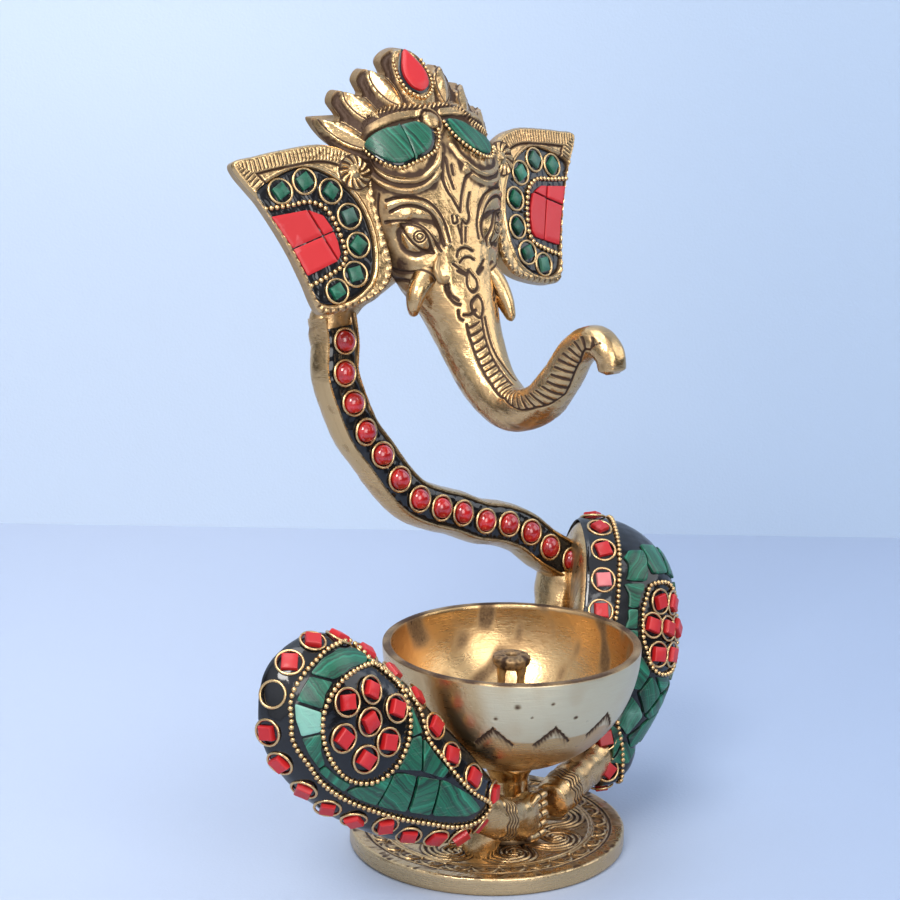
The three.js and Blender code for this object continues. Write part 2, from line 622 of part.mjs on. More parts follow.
function kneeSurface({ rim, middle, along, across, facing, edge }) {
  const curve = new THREE.CatmullRomCurve3(rim.map(([u, v, depth]) => P(u, v, depth)), true);
  const crestAt = (u) => [THREE.MathUtils.clamp(u, crestFrom, crestTo), crestAcross];
  const raw = (turn, dip) => {
    const edgePoint = curve.getPoint(((turn % 1) + 1) % 1);
    const [cu, cv] = crestAt(edgePoint.x);
    const u = cu + (edgePoint.x - cu) * Math.sin(dip);
    const v = cv + (edgePoint.y - cv) * Math.sin(dip);
    return middle.clone().addScaledVector(along, u).addScaledVector(across, v)
      .addScaledVector(facing, -edgePoint.z * (1 - Math.cos(dip)));
  };
  const inside = (turn) => {
    const edgePoint = curve.getPoint(((turn % 1) + 1) % 1);
    const [cu, cv] = crestAt(edgePoint.x);
    return middle.clone().addScaledVector(along, cu).addScaledVector(across, cv).addScaledVector(facing, -edgePoint.z);
  };
  const place = (turn, dip, lift = 0) => {
    const small = 0.004;
    const at = raw(turn, dip);
    const up = new THREE.Vector3().crossVectors(raw(turn + small, dip).sub(raw(turn - small, dip)),
      raw(turn, dip + small).sub(raw(turn, dip - small))).normalize();
    if (up.dot(at.clone().sub(inside(turn))) < 0) up.negate();
    return { at: at.addScaledVector(up, lift), up };
  };
  // The dip at a distance over the surface inward from the rim's edge
  const inward = (turn, distance) => {
    const step = radians(1);
    let dip = radians(edge);
    let walked = 0;
    while (walked < distance && dip > step) {
      walked += raw(turn, dip).distanceTo(raw(turn, dip - step));
      dip -= step;
    }
    return dip;
  };
  // The place on the dome whose plan position is u along and v across
  const over = (u, v, lift = 0) => {
    const [cu, cv] = crestAt(u);
    const want = Math.atan2(v - cv, u - cu);
    let best = { miss: Infinity };
    for (let i = 0; i < 360; i += 1) {
      const p = curve.getPoint(i / 360);
      const [pu, pv] = crestAt(p.x);
      const slip = Math.abs(Math.atan2(Math.sin(Math.atan2(p.y - pv, p.x - pu) - want),
        Math.cos(Math.atan2(p.y - pv, p.x - pu) - want)));
      const miss = slip * 30 + Math.abs(pu - cu);
      if (miss < best.miss) {
        best = { miss, turn: i / 360, share: Math.hypot(u - cu, v - cv) / Math.hypot(p.x - pu, p.y - pv) };
      }
    }
    return place(best.turn, Math.asin(Math.min(0.97, Math.max(0.05, best.share))), lift);
  };
  // A line that keeps a distance from the rim's edge: its length, and the place at a share
  // of the way along it
  const runAt = (distance, lift) => {
    const fine = 240;
    const line = Array.from({ length: fine + 1 }, (unused, i) => place(i / fine, inward(i / fine, distance)).at);
    const walked = [0];
    line.slice(1).forEach((p, i) => walked.push(walked[i] + p.distanceTo(line[i])));
    const length = walked[fine];
    const placeAt = (share) => {
      const want = (share % 1) * length;
      const i = walked.findIndex((far) => far > want) - 1;
      const turn = (i + (want - walked[i]) / (walked[i + 1] - walked[i])) / fine;
      return place(turn, inward(turn, distance), lift);
    };
    return { length, placeAt };
  };
  return { place, inward, over, raw, runAt };
}

// A closed band on the dome between two dips at each turn, from one lift to another
function domeBand(surface, turns, innerDip, outerDip, low, high, rows) {
  const rings = [];
  for (let i = 0; i < turns; i += 1) {
    const turn = i / turns;
    const shares = Array.from({ length: rows + 1 }, (unused, j) => j / rows);
    const dipAt = (share) => innerDip(turn) + (outerDip(turn) - innerDip(turn)) * share;
    const top = shares.map((share) => surface.place(turn, dipAt(share), high).at);
    const bottom = shares.map((share) => surface.place(turn, dipAt(share), low).at).reverse();
    rings.push([...top, ...bottom]);
  }
  return loft(rings, true);
}

for (const knee of knees) {
  const surface = kneeSurface(knee);
  const { side, rim } = knee;
  const turns = 28;
  const ring = (dip, lift) => Array.from({ length: turns }, (unused, i) => surface.place(i / turns, radians(dip), lift).at);
  const backRing = (scale, drop) => Array.from({ length: turns }, (unused, i) => {
    const p = surface.raw(i / turns, radians(knee.edge));
    const spot = knee.middle.clone().addScaledVector(knee.along, padMiddle).addScaledVector(knee.across, crestAcross)
      .addScaledVector(knee.facing, -rim[3][2]);
    return spot.clone().lerp(p, scale).addScaledVector(knee.facing, -drop);
  });
  const dips = [10, 31, 50, 67, 82];
  const layer = (low, high, past = 0) => {
    const down = [...dips, knee.edge + past];
    return loft([...down.map((dip) => ring(dip, low)), ...down.toReversed().map((dip) => ring(dip, high))]);
  };
  const pad = loft([...[...dips, knee.edge].map((dip) => ring(dip, 0)), backRing(0.92, knee.back * 0.5), backRing(0.6, knee.back),
    backRing(0.12, knee.back * 1.1)]);
  const tube = (places) => tubeAlong(places.map(([x, y, z, a, b]) => ({ at: P(x, y, z), a, b, side: P(0, 1, 0) })), 12);
  const toes = Array.from({ length: knee.toes }, (unused, i) => new THREE.SphereGeometry(toeRadius, 8, 6)
    .translate(lowestToe[0], lowestToe[1], lowestToe[2] + i * toeSpacing));
  const inlayRoom = layer(0, 4, 6);
  const parts = [pad, cut(joined(tube(knee.limb), tube(knee.rest), ...toes), inlayRoom)];
  addPiece(`${side}_leg`, cut(joined(...parts), bowlRoom, standRoom, baseRoom, spineRoom(0.7, 1)), brass());

  const lacHigh = seatGap + lacThickness;
  const onLac = lacHigh + seatGap;
  addPiece(`${side}_knee_lac`, layer(seatGap, lacHigh), lac());

  const rimDip = (distance) => (turn) => surface.inward(turn, distance);
  const rimRun = surface.runAt(dishRadius, onLac);
  addPiece(`${side}_knee_rim_setting`, dishRing(rimRun.placeAt, rimChipCount, rimRun.length / rimChipCount,
    dishRadius - seatGap), brass());
  const wireReach = 2 * dishRadius + wireThickness / 2;
  const outerWire = Array.from({ length: turns }, (unused, i) => (
    surface.place(i / turns, surface.inward(i / turns, wireReach), onLac)));
  addPiece(`${side}_knee_outer_wire`, wireAlong(outerWire, wireThickness, true), brass());
  const [ovalU, ovalV, ovalA, ovalB] = knee.oval;
  const onOval = (scale, lift) => Array.from({ length: 24 }, (unused, i) => {
    const t = (i / 24) * 2 * Math.PI;
    return surface.over(ovalU + ovalA * scale * Math.cos(t), ovalV + ovalB * scale * Math.sin(t), lift);
  });
  addPiece(`${side}_knee_inner_wire`, wireAlong(onOval(1, onLac), wireThickness, true), brass());
  const hub = surface.over(ovalU, ovalV, onLac);
  const bandTop = onLac + malachiteThickness;
  const band = domeBand(surface, turns, () => radians(8), rimDip(wireReach + wireThickness / 2 + seatGap + 0.1),
    onLac + 0.1, bandTop, 4);
  const plug = loft([onOval(1.1, -4), onOval(1.1, 16)].map((places) => places.map(({ at }) => at)));
  addPiece(`${side}_knee_malachite`, cut(band, plug), malachite());
  const petalAt = (share) => {
    const t = share * 2 * Math.PI + 0.6;
    return surface.over(ovalU + rosetteSpacing * Math.cos(t), ovalV + rosetteSpacing * (ovalB / ovalA) * Math.sin(t), onLac);
  };
  const spokes = [0, 1, 2].map((i) => wireAlong([hub, petalAt(i / 3)].map(({ at }) => ({ at, up: hub.up })), linkWidth, false));
  addPiece(`${side}_knee_rosette`, joined(dishRing(petalAt, 6, rosetteSpacing, rosetteDishRadius),
    stoneDish(hub, rosetteDishRadius), ...spokes), brass());
}

let triangles = 0;
lamp.children.forEach((mesh) => {
  const { index, attributes } = mesh.geometry;
  triangles += (index ? index.count : attributes.position.count) / 3;
});
console.log(`${lamp.children.length} pieces, ${triangles} triangles`);

export default lamp;
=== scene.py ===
"""A cast brass oil lamp: a seated elephant-headed figure with a lamp bowl in its lap and
stones laid in black lac."""
import math

import bpy
import numpy as np
from mathutils import Matrix, Vector


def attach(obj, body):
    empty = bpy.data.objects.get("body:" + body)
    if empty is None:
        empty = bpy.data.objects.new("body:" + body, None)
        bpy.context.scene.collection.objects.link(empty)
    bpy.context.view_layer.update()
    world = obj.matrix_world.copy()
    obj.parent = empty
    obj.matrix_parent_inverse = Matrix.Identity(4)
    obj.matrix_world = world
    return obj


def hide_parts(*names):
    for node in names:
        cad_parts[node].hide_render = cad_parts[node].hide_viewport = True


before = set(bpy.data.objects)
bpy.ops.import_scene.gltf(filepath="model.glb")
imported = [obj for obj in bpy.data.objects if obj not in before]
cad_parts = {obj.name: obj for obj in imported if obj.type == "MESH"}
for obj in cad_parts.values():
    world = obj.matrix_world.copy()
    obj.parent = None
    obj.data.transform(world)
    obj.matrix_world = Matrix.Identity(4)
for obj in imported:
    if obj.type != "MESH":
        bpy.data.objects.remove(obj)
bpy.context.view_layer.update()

bl_info = {
    "name": "Inlaid Brass Lamp",
    "version": (1, 1, 0),
    "blender": (4, 5, 0),
    "location": "View3D > Sidebar > Lamp",
    "description": "Dresses a cast brass oil lamp with stone inlay around its packed model",
    "category": "Add Mesh",
}

MM = 0.001


def colour_setting(name, description, value):
    """A colour that the panel can change."""
    return bpy.props.FloatVectorProperty(name=name, description=description, subtype="COLOR", size=3,
                                         min=0.0, max=1.0, default=value)


def length_setting(name, description, value):
    """A length that the panel can change."""
    return bpy.props.FloatProperty(name=name, description=description, subtype="DISTANCE", unit="LENGTH",
                                   min=0.0, default=value)


class LampColours(bpy.types.PropertyGroup):
    """The colours of the lamp's metal, stones and lac, and of the table under it."""

    brass: colour_setting("Buffed brass", "Polished high places of the casting", (0.58, 0.385, 0.185))
    # On the bowl this lighter colour is filed metal and also a painted sheen where the light falls
    bare: colour_setting("Bare brass", "Freshly turned metal on the bowl's side", (0.72, 0.63, 0.43))
    # This dark colour is patina, and on the head it also paints shade
    patina: colour_setting("Patina", "Dark colour left in the hollows", (0.055, 0.026, 0.012))
    copper: colour_setting("Copper tint", "Redder metal at the sawn edges", (0.62, 0.30, 0.12))
    coral: colour_setting("Coral", "Round stones on the spine", (0.52, 0.012, 0.012))
    red: colour_setting("Red stone", "Square stones and patches", (0.53, 0.008, 0.011))
    malachite: colour_setting("Malachite", "Green stone's middle tone", (0.0, 0.095, 0.045))
    malachite_pale: colour_setting("Pale malachite", "Green stone's light bands", (0.012, 0.210, 0.118))
    lac: colour_setting("Lac", "Black filling between the stones", (0.006, 0.006, 0.007))
    table: colour_setting("Table", "Floor under the lamp", (0.455, 0.52, 0.655))
    wall: colour_setting("Wall", "Backdrop behind the lamp", (0.59, 0.68, 0.795))


class LampSizes(bpy.types.PropertyGroup):
    """The sizes of the lamp's fine work."""

    bead: length_setting("Bead", "Radius of a bead in the beaded wires", 0.00080)
    bead_pitch: length_setting("Bead pitch", "Distance from bead to bead", 0.00176)
    ring: length_setting("Ring", "Outer radius of a ring round a square stone", 0.0042)
    ring_wire: length_setting("Ring wire", "Radius of the wire of those rings", 0.00042)
    chip: length_setting("Chip", "Side of a square stone", 0.0045)
    chip_height: length_setting("Chip height", "How far a square stone stands up", 0.0019)
    groove: length_setting("Groove", "Depth of a chased line", 0.00055)
    groove_width: length_setting("Groove width", "Half-width of a chased line", 0.00042)
    cast: length_setting("Cast waviness", "How uneven the cast skins are", 0.00012)


def size(name):
    """One of the fine sizes, in millimetres."""
    return getattr(bpy.context.scene.lamp_sizes, name) / MM


def unit(vectors):
    """Vectors at length one."""
    return vectors / np.maximum(np.linalg.norm(vectors, axis=-1, keepdims=True), 1e-9)


def ramp(low, high, x):
    """Rises smoothly from 0 at low to 1 at high."""
    t = np.clip((x - low) / (high - low), 0.0, 1.0)
    return t * t * (3.0 - 2.0 * t)


def hill(distance, width):
    """A bell of height 1 and the given half-width."""
    return np.exp(-(distance / width) ** 2)


def catmull(points, share, closed=False):
    """A centripetal Catmull-Rom curve through points, at shares of the way from point to point."""
    p = np.asarray(points, float)
    count = len(p)
    t = np.asarray(share, float)
    x = (t % 1.0) * count if closed else np.clip(t, 0.0, 1.0) * (count - 1)
    i = np.floor(x).astype(int)
    if closed:
        near = [p[(i + k) % count] for k in (-1, 0, 1, 2)]
    else:
        i = np.minimum(i, count - 2)
        ends = np.vstack([2 * p[0] - p[1], p, 2 * p[-1] - p[-2]])
        near = [ends[i + k] for k in (0, 1, 2, 3)]
    w = (x - i)[..., None]
    gap = [np.maximum(((near[k + 1] - near[k]) ** 2).sum(-1, keepdims=True) ** 0.25, 1e-4) for k in range(3)]
    slopes = []
    for k in (0, 1):
        slopes.append(((near[k + 1] - near[k]) / gap[k] - (near[k + 2] - near[k]) / (gap[k] + gap[k + 1])
                       + (near[k + 2] - near[k + 1]) / gap[k + 1]) * gap[1])
    a, b = near[1], near[2]
    return a + slopes[0] * w + (-3 * a + 3 * b - 2 * slopes[0] - slopes[1]) * w ** 2 \
        + (2 * a - 2 * b + slopes[0] + slopes[1]) * w ** 3


def walked(line):
    """The distance walked from the start of a line to each of its points."""
    return np.concatenate([[0.0], np.cumsum(np.linalg.norm(np.diff(line, axis=0), axis=1))])


def spread(line, count, closed=False):
    """Points at even distances along a line."""
    line = np.vstack([line, line[:1]]) if closed else np.asarray(line, float)
    far = walked(line)
    want = np.linspace(0, far[-1], count, endpoint=not closed)
    return np.stack([np.interp(want, far, line[:, k]) for k in range(line.shape[1])], -1)


def smooth_line(points, count=60, closed=False):
    """A smooth line of evenly spaced points through a few."""
    dense = catmull(points, np.linspace(0, 1, 12 * len(points), endpoint=not closed), closed)
    return spread(dense, count, closed)


def off_line(places, line, reach):
    """The distance of places (..., 2) from a line, cut off at reach."""
    flat = places.reshape(-1, 2)
    line = np.asarray(line, float)
    out = np.full(len(flat), float(reach))
    low, high = line.min(0) - reach, line.max(0) + reach
    close = np.flatnonzero(((flat > low) & (flat < high)).all(1))
    if len(close):
        spot = flat[close]
        best = np.full(len(close), float(reach))
        for a, b in zip(line[:-1], line[1:]):
            way = b - a
            t = np.clip(((spot - a) @ way) / max(way @ way, 1e-12), 0, 1)
            best = np.minimum(best, np.linalg.norm(spot - a - t[:, None] * way, axis=1))
        out[close] = best
    return out.reshape(places.shape[:-1])


def within(places, outline):
    """Which places (..., 2) lie inside a closed outline."""
    x, y = places[..., 0], places[..., 1]
    inside = np.zeros(x.shape, bool)
    corners = np.asarray(outline, float)
    for (ax, ay), (bx, by) in zip(corners, np.roll(corners, -1, 0)):
        if ay != by:
            inside ^= ((ay > y) != (by > y)) & (x < (bx - ax) * (y - ay) / (by - ay) + ax)
    return inside


def depth_inside(places, outline, reach):
    """How far inside a closed outline places lie: 0 outside it, and no more than reach."""
    closed = np.vstack([outline, outline[:1]])
    return np.where(within(places, outline), off_line(places, closed, reach), 0.0)


def waves(points, pitch, seed):
    """Soft unevenness between -1 and 1: a sum of sine waves in a few directions."""
    rng = np.random.default_rng(seed)
    total = np.zeros(points.shape[:-1])
    for _ in range(9):
        way = unit(rng.normal(size=3)) * rng.uniform(0.6, 2.4) * 2 * np.pi / pitch
        total += np.sin(points @ way + rng.uniform(0, 6.28))
    return total / 4.5


def normals_of(grid):
    """The unit normals of a grid of points (along, across, 3) that closes across itself."""
    across = (np.roll(grid, -1, 1) - np.roll(grid, 1, 1)) / 2
    return unit(np.cross(across, np.gradient(grid, axis=0)))


def hollows(height, reach, depth):
    """Patina of a relief that closes across itself: 1 where it lies its depth below its
    surroundings, which are its mean over a square window that reaches so far each way."""
    mean = height
    span = 2 * reach + 1
    for axis, mode in ((0, "edge"), (1, "wrap")):
        padded = np.pad(mean, [(reach, reach) if k == axis else (0, 0) for k in (0, 1)], mode=mode)
        total = np.insert(np.cumsum(padded, axis=axis), 0, 0.0, axis=axis)
        upper = np.take(total, range(span, total.shape[axis]), axis=axis)
        lower = np.take(total, range(0, total.shape[axis] - span), axis=axis)
        mean = (upper - lower) / span
    return np.clip((mean - height) / depth, 0.0, 1.0)


class Form:
    """A new mesh in the making: points in millimetres, faces, and values at the points."""

    def __init__(self):
        self.points = []
        self.faces = []
        self.values = []
        self.count = 0

    def add(self, points, faces, **values):
        """Adds points (n, 3) and blocks of faces that count from the first of them."""
        self.faces += [np.asarray(block) + self.count for block in faces]
        self.points.append(points)
        self.values.append({name: np.ravel(value) if np.ndim(value) else np.full(len(points), float(value))
                            for name, value in values.items()})
        self.count += len(points)
        return self

    def sheet(self, grid, closed_along=False, tips=None, **values):
        """Adds a closed skin: a grid of points (along, across, 3) that closes across itself, and
        closes along itself too or is closed at each end by a fan round a tip."""
        rows, columns = grid.shape[:2]
        number = np.arange(rows * columns).reshape(rows, columns)
        wide = np.concatenate([number, number[:, :1]], 1)
        if closed_along:
            wide = np.concatenate([wide, wide[:1]], 0)
        blocks = [np.stack([wide[:-1, :-1], wide[:-1, 1:], wide[1:, 1:], wide[1:, :-1]], -1).reshape(-1, 4)]
        points = grid.reshape(-1, 3)
        values = {name: np.broadcast_to(value, grid.shape[:2]) for name, value in values.items()}
        if not closed_along:
            if tips is None:
                tips = grid[[0, -1]].mean(1)
            points = np.vstack([points, tips])
            here = rows * columns
            blocks.append(np.stack([np.full(columns, here), wide[0, 1:], wide[0, :-1]], -1))
            blocks.append(np.stack([np.full(columns, here + 1), wide[-1, :-1], wide[-1, 1:]], -1))
            values = {name: np.concatenate([value.ravel(), value[[0, -1]].mean(1)])
                      for name, value in values.items()}
        volume = 0.0
        for block in blocks:
            corner = points[block]
            for k in range(1, block.shape[1] - 1):
                volume += np.einsum("ij,ij->", corner[:, 0], np.cross(corner[:, k], corner[:, k + 1]))
        if volume < 0:
            blocks = [block[:, ::-1] for block in blocks]
        return self.add(points, blocks, **{name: np.ravel(value) for name, value in values.items()})

    def scatter(self, template, places, ups, ahead=None, turn=0.0, scale=1.0, **values):
        """Adds copies of a template that stand on places along ups, each turned and scaled."""
        count = len(places)
        ups = unit(ups)
        guide = np.tile([0.31, 0.2, 0.93], (count, 1)) if ahead is None else ahead
        x = unit(guide - (guide * ups).sum(-1, keepdims=True) * ups)
        y = np.cross(ups, x)
        turn = np.broadcast_to(turn, count)[:, None]
        x, y = x * np.cos(turn) + y * np.sin(turn), y * np.cos(turn) - x * np.sin(turn)
        axes = np.stack([x, y, ups], 1)
        shape = np.concatenate(template.points)
        scale = np.asarray(scale, float)
        scale = np.broadcast_to(scale[:, None] if scale.ndim == 1 else scale, (count, 3))
        scaled = shape[None] * scale[:, None]
        points = places[:, None] + scaled @ axes
        starts = np.arange(count) * len(shape)
        blocks = [(block[None] + starts[:, None, None]).reshape(-1, block.shape[1])
                  for block in template.faces]
        spread_values = {name: np.repeat(np.broadcast_to(value, count), len(shape))
                         for name, value in values.items()}
        return self.add(points.reshape(-1, 3), blocks, **spread_values)

    def piece(self, name, finish, slot, stands_for=(), body="figure", sharp=0.7):
        """Makes the form a piece of the lamp: it rides on a body and stands for CAD nodes."""
        mesh = bpy.data.meshes.new(name)
        faces = [face for block in self.faces for face in block.tolist()]
        mesh.from_pydata(np.concatenate(self.points) * MM, [], faces)
        for key in sorted({key for values in self.values for key in values}):
            parts = [values.get(key, np.zeros(len(points)))
                     for values, points in zip(self.values, self.points)]
            attribute = mesh.attributes.new(key, "FLOAT", "POINT")
            attribute.data.foreach_set("value", np.concatenate(parts).astype(np.float32))
        mesh.materials.append(bpy.data.materials[finish])
        mesh.shade_smooth()
        mesh.set_sharp_from_angle(angle=sharp)
        made = bpy.data.objects.new(name, mesh)
        bpy.context.scene.collection.objects.link(made)
        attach(made, body)
        if stands_for:
            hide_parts(*stands_for)
        return made


def ball(sides, rows):
    """A sphere of radius 1: rings between two tips."""
    t = np.linspace(0, np.pi, rows + 2)[1:-1, None]
    a = np.linspace(0, 2 * np.pi, sides, endpoint=False)
    grid = np.stack([np.sin(t) * np.cos(a), np.sin(t) * np.sin(a), np.cos(t) * np.ones_like(a)], -1)
    return Form().sheet(grid, tips=np.array([[0, 0, 1.0], [0, 0, -1.0]]))


def hoop(radius, wire, sides, round_sides):
    """A ring of round wire that lies on its place: a circle swept round another."""
    a = np.linspace(0, 2 * np.pi, sides, endpoint=False)[:, None]
    t = np.linspace(0, 2 * np.pi, round_sides, endpoint=False)
    reach = radius - wire + wire * np.cos(t)
    grid = np.stack([reach * np.cos(a), reach * np.sin(a),
                     (wire * 0.7 + wire * np.sin(t)) * np.ones_like(a)], -1)
    return Form().sheet(grid, closed_along=True)


def chip_form(side, height):
    """A square stone with a broken edge: squares stacked from its foot to its smaller top."""
    half = side / 2
    levels = [(half, -0.4), (half * 1.02, height * 0.4), (half * 0.97, height * 0.86), (half * 0.84, height)]
    corners = np.array([[1, 1], [-1, 1], [-1, -1], [1, -1]])
    grid = np.array([[[x * reach, y * reach, z] for x, y in corners] for reach, z in levels])
    return Form().sheet(grid)


def turned(profile, sides, y=0.0):
    """A turned skin: radius and height pairs swept round an upright axis at a y."""
    p = np.asarray(profile, float)
    a = np.linspace(0, 2 * np.pi, sides, endpoint=False)
    return np.stack([p[:, :1] * np.cos(a), y + p[:, :1] * np.sin(a), p[:, 1:] * np.ones_like(a)], -1)


def tube(path, side, a, b, sides, power=2.0):
    """Superellipse rings square to a path: half-width a along side, half-depth b across it."""
    along = unit(np.gradient(path, axis=0))
    side = np.broadcast_to(np.asarray(side, float), path.shape)
    side = unit(side - (side * along).sum(-1, keepdims=True) * along)
    up = np.cross(along, side)
    t = np.linspace(0, 2 * np.pi, sides, endpoint=False)
    r = (np.abs(np.cos(t)) ** power + np.abs(np.sin(t)) ** power) ** (-1 / power)
    a, b = np.broadcast_to(a, len(path)), np.broadcast_to(b, len(path))
    return path[:, None] + side[:, None] * (a[:, None] * np.cos(t) * r)[..., None] \
        + up[:, None] * (b[:, None] * np.sin(t) * r)[..., None]


def round_ends(count, share=0.12):
    """Half-width shares that close roundly at both ends of a run."""
    t = np.linspace(0, 1, count)
    edge = np.minimum(t, 1 - t) / share
    return np.sqrt(np.clip(1 - (1 - np.minimum(edge, 1)) ** 2, 0.02, 1))


def limb(stations, rows, sides, side=(0, 1, 0), power=2.0, wave=1.0, seed=1):
    """A cast limb: a tube of x, y, z, half-width and half-depth stations, slightly uneven."""
    runs = catmull(stations, np.linspace(0, 1, rows))
    ends = round_ends(rows, 0.06)
    grid = tube(runs[:, :3], side, runs[:, 3] * ends, runs[:, 4] * ends, sides, power)
    return grid + normals_of(grid) * (waves(grid, 9.0, seed) * size("cast") * wave)[..., None]


def slab(outline, lay, low, high, edge, rows=5, count=72):
    """A flat stone on a surface: its outline at the foot and top, drawn in past its edge and
    then ring by ring to the middle. Lay gives the points and normals at places (..., 2)."""
    line = spread(np.asarray(outline, float), count, closed=True)
    middle = line.mean(0)
    reach = np.linalg.norm(line - middle, axis=1).mean()
    rings = [(1.0, low), (1.0, high - edge * 0.6), (1 - edge / reach, high)]
    rings += [(share, high) for share in np.linspace(1 - edge / reach, 0, rows + 1)[1:-1]]
    grid = []
    for share, lift in rings:
        points, up = lay(middle + (line - middle) * share)
        grid.append(points + up * lift)
    points, up = lay(middle[None])
    last = points[0] + up[0] * high
    return np.array(grid), np.array([np.array(grid)[0].mean(0), last])


def beads(form, line, ups, pitch=None, radius=None, closed=False):
    """A run of beads on a line, each with the direction that it stands up in."""
    pitch, radius = pitch or size("bead_pitch"), radius or size("bead")
    both = np.hstack([line, ups])
    if closed:
        both = np.vstack([both, both[:1]])
    far = walked(both[:, :3])
    count = max(int(round(far[-1] / pitch)), 2)
    want = np.linspace(0, far[-1], count, endpoint=not closed)
    spots = np.stack([np.interp(want, far, both[:, k]) for k in range(6)], -1)
    rng = np.random.default_rng(count)
    up = unit(spots[:, 3:])
    ahead = np.gradient(spots[:, :3], axis=0)
    stretch = np.stack([np.full(count, 1.0), np.full(count, 1.05), np.full(count, 0.95)], -1) * radius
    stretch *= rng.uniform(0.93, 1.07, (count, 1))
    return form.scatter(ball(9, 6), spots[:, :3] + up * radius * 0.6, up, ahead, scale=stretch)


class Socket:
    """A node's output, on which Python arithmetic adds Math nodes."""

    def __init__(self, graph, socket):
        self.graph = graph
        self.socket = socket

    def _math(self, operation, first, second):
        return self.graph.node("ShaderNodeMath", {"operation": operation}, {0: first, 1: second})

    def __add__(self, other):
        return self._math("ADD", self, other)

    def __sub__(self, other):
        return self._math("SUBTRACT", self, other)

    def __mul__(self, other):
        return self._math("MULTIPLY", self, other)

    def __truediv__(self, other):
        return self._math("DIVIDE", self, other)

    def __rsub__(self, other):
        return self._math("SUBTRACT", other, self)

    __radd__ = __add__
    __rmul__ = __mul__

    def larger(self, other):
        return self._math("MAXIMUM", self, other)

    def stepped(self, low, high):
        """Rises smoothly from 0 at low to 1 at high."""
        return self.graph.node("ShaderNodeMapRange", {"interpolation_type": "SMOOTHSTEP"},
                               {"Value": self, "From Min": low, "From Max": high})


class Graph:
    """The node tree of one new material."""

    def __init__(self, name):
        self.material = bpy.data.materials.new(name)
        self.material.use_nodes = True
        self.tree = self.material.node_tree
        self.shader = self.tree.nodes["Principled BSDF"]
        self.place = self.node("ShaderNodeTexCoord", {}, {}, output="Object")

    def node(self, kind, settings, values, output=0):
        """Adds a node: its settings first, then the values or links of its inputs."""
        made = self.tree.nodes.new(kind)
        for key, value in settings.items():
            setattr(made, key, value)
        for key, value in values.items():
            self.feed(made.inputs[key], value)
        return Socket(self, made.outputs[output])

    def feed(self, target, value):
        if isinstance(value, Socket):
            self.tree.links.new(value.socket, target)
        else:
            target.default_value = value

    def value(self, name):
        """A point value of the mesh."""
        return self.node("ShaderNodeAttribute", {"attribute_name": name}, {}, output="Fac")

    def noise(self, scale, detail=3.0, stretch=None):
        """Cloudy noise on object coordinates, stretched along an axis if asked."""
        place = self.place
        if stretch:
            place = self.node("ShaderNodeVectorMath", {"operation": "MULTIPLY"}, {0: place, 1: stretch})
        return self.node("ShaderNodeTexNoise", {}, {"Vector": place, "Scale": scale, "Detail": detail})

    def along(self, place, way):
        """How far a place lies along a direction."""
        values = {0: place, 1: way}
        return self.node("ShaderNodeVectorMath", {"operation": "DOT_PRODUCT"}, values, output="Value")

    def blend(self, share, first, second):
        """A colour between two."""
        return self.node("ShaderNodeMix", {"data_type": "RGBA"},
                         {0: share, 6: self._colour(first), 7: self._colour(second)}, output=2)

    def _colour(self, value):
        return value if isinstance(value, Socket) else (*tuple(value)[:3], 1.0)

    def bump(self, height, distance, strength=1.0):
        """A normal from a height."""
        return self.node("ShaderNodeBump", {}, {"Strength": strength, "Distance": distance, "Height": height})

    def finish(self, **values):
        for key, value in values.items():
            self.feed(self.shader.inputs[key.replace("_", " ")], value)
        return self.material


class Sky(Graph):
    """The node tree of a world."""

    def __init__(self, world):
        world.use_nodes = True
        self.tree = world.node_tree
        self.shader = self.tree.nodes["Background"]


def scaled(colour, factor):
    """A colour made darker or lighter."""
    return tuple(min(c * factor, 1.0) for c in colour)


def brass_finish(name, patina=0.25, rough=0.22, grain=0.00012, tint=0.25):
    """Cast brass. The dark colour lies as patina in the relief's hollows and in specks, and where a
    piece's patina value carries painted shade (the head's sides and undersides) it paints that
    shade too; a lighter bare colour comes in where the bare value says, on the bowl partly as a
    painted sheen; the high places are buffed with fine scratches, and a slow noise turns the
    metal redder in places."""
    colours = bpy.context.scene.lamp_colours
    g = Graph(name)
    patina_and_shade = g.value("patina")
    bare = g.value("bare")
    specks = g.noise(420.0, 4.0).stepped(0.60, 0.78)
    clouds = g.noise(34.0, 4.0).stepped(0.42, 0.75)
    fine = g.noise(1400.0, 3.0)
    scratches = g.noise(160.0, 6.0, (1.0, 1.0, 14.0))
    metal = g.blend(clouds * tint, colours.brass, colours.copper)
    # The bare value brings in the lighter bare colour; on the bowl it is partly a painted sheen
    metal = g.blend(bare * (0.75 + scratches * 0.4), metal, colours.bare)
    # The patina value darkens hollows as patina, and on the head it also carries painted shade
    darkening = (patina_and_shade * (0.78 + fine * 0.5) + specks * clouds * patina).stepped(0.08, 0.76)
    colour = g.blend(darkening, metal, colours.patina)
    height = fine * 0.5 + g.noise(520.0, 3.0) * 0.9 + scratches * (0.35 + bare * 1.1)
    roughness = rough + darkening * 0.38 + bare * 0.12 + clouds * 0.08 + (scratches - 0.5) * 0.16
    return g.finish(Base_Color=colour, Metallic=1.0 - darkening * 0.55, Roughness=roughness,
                    Normal=g.bump(height, grain))


def brass_casting():
    brass_finish("cast_brass")


def brass_bowl():
    brass_finish("bowl_brass", patina=0.5, rough=0.27, grain=0.00010, tint=0.35)


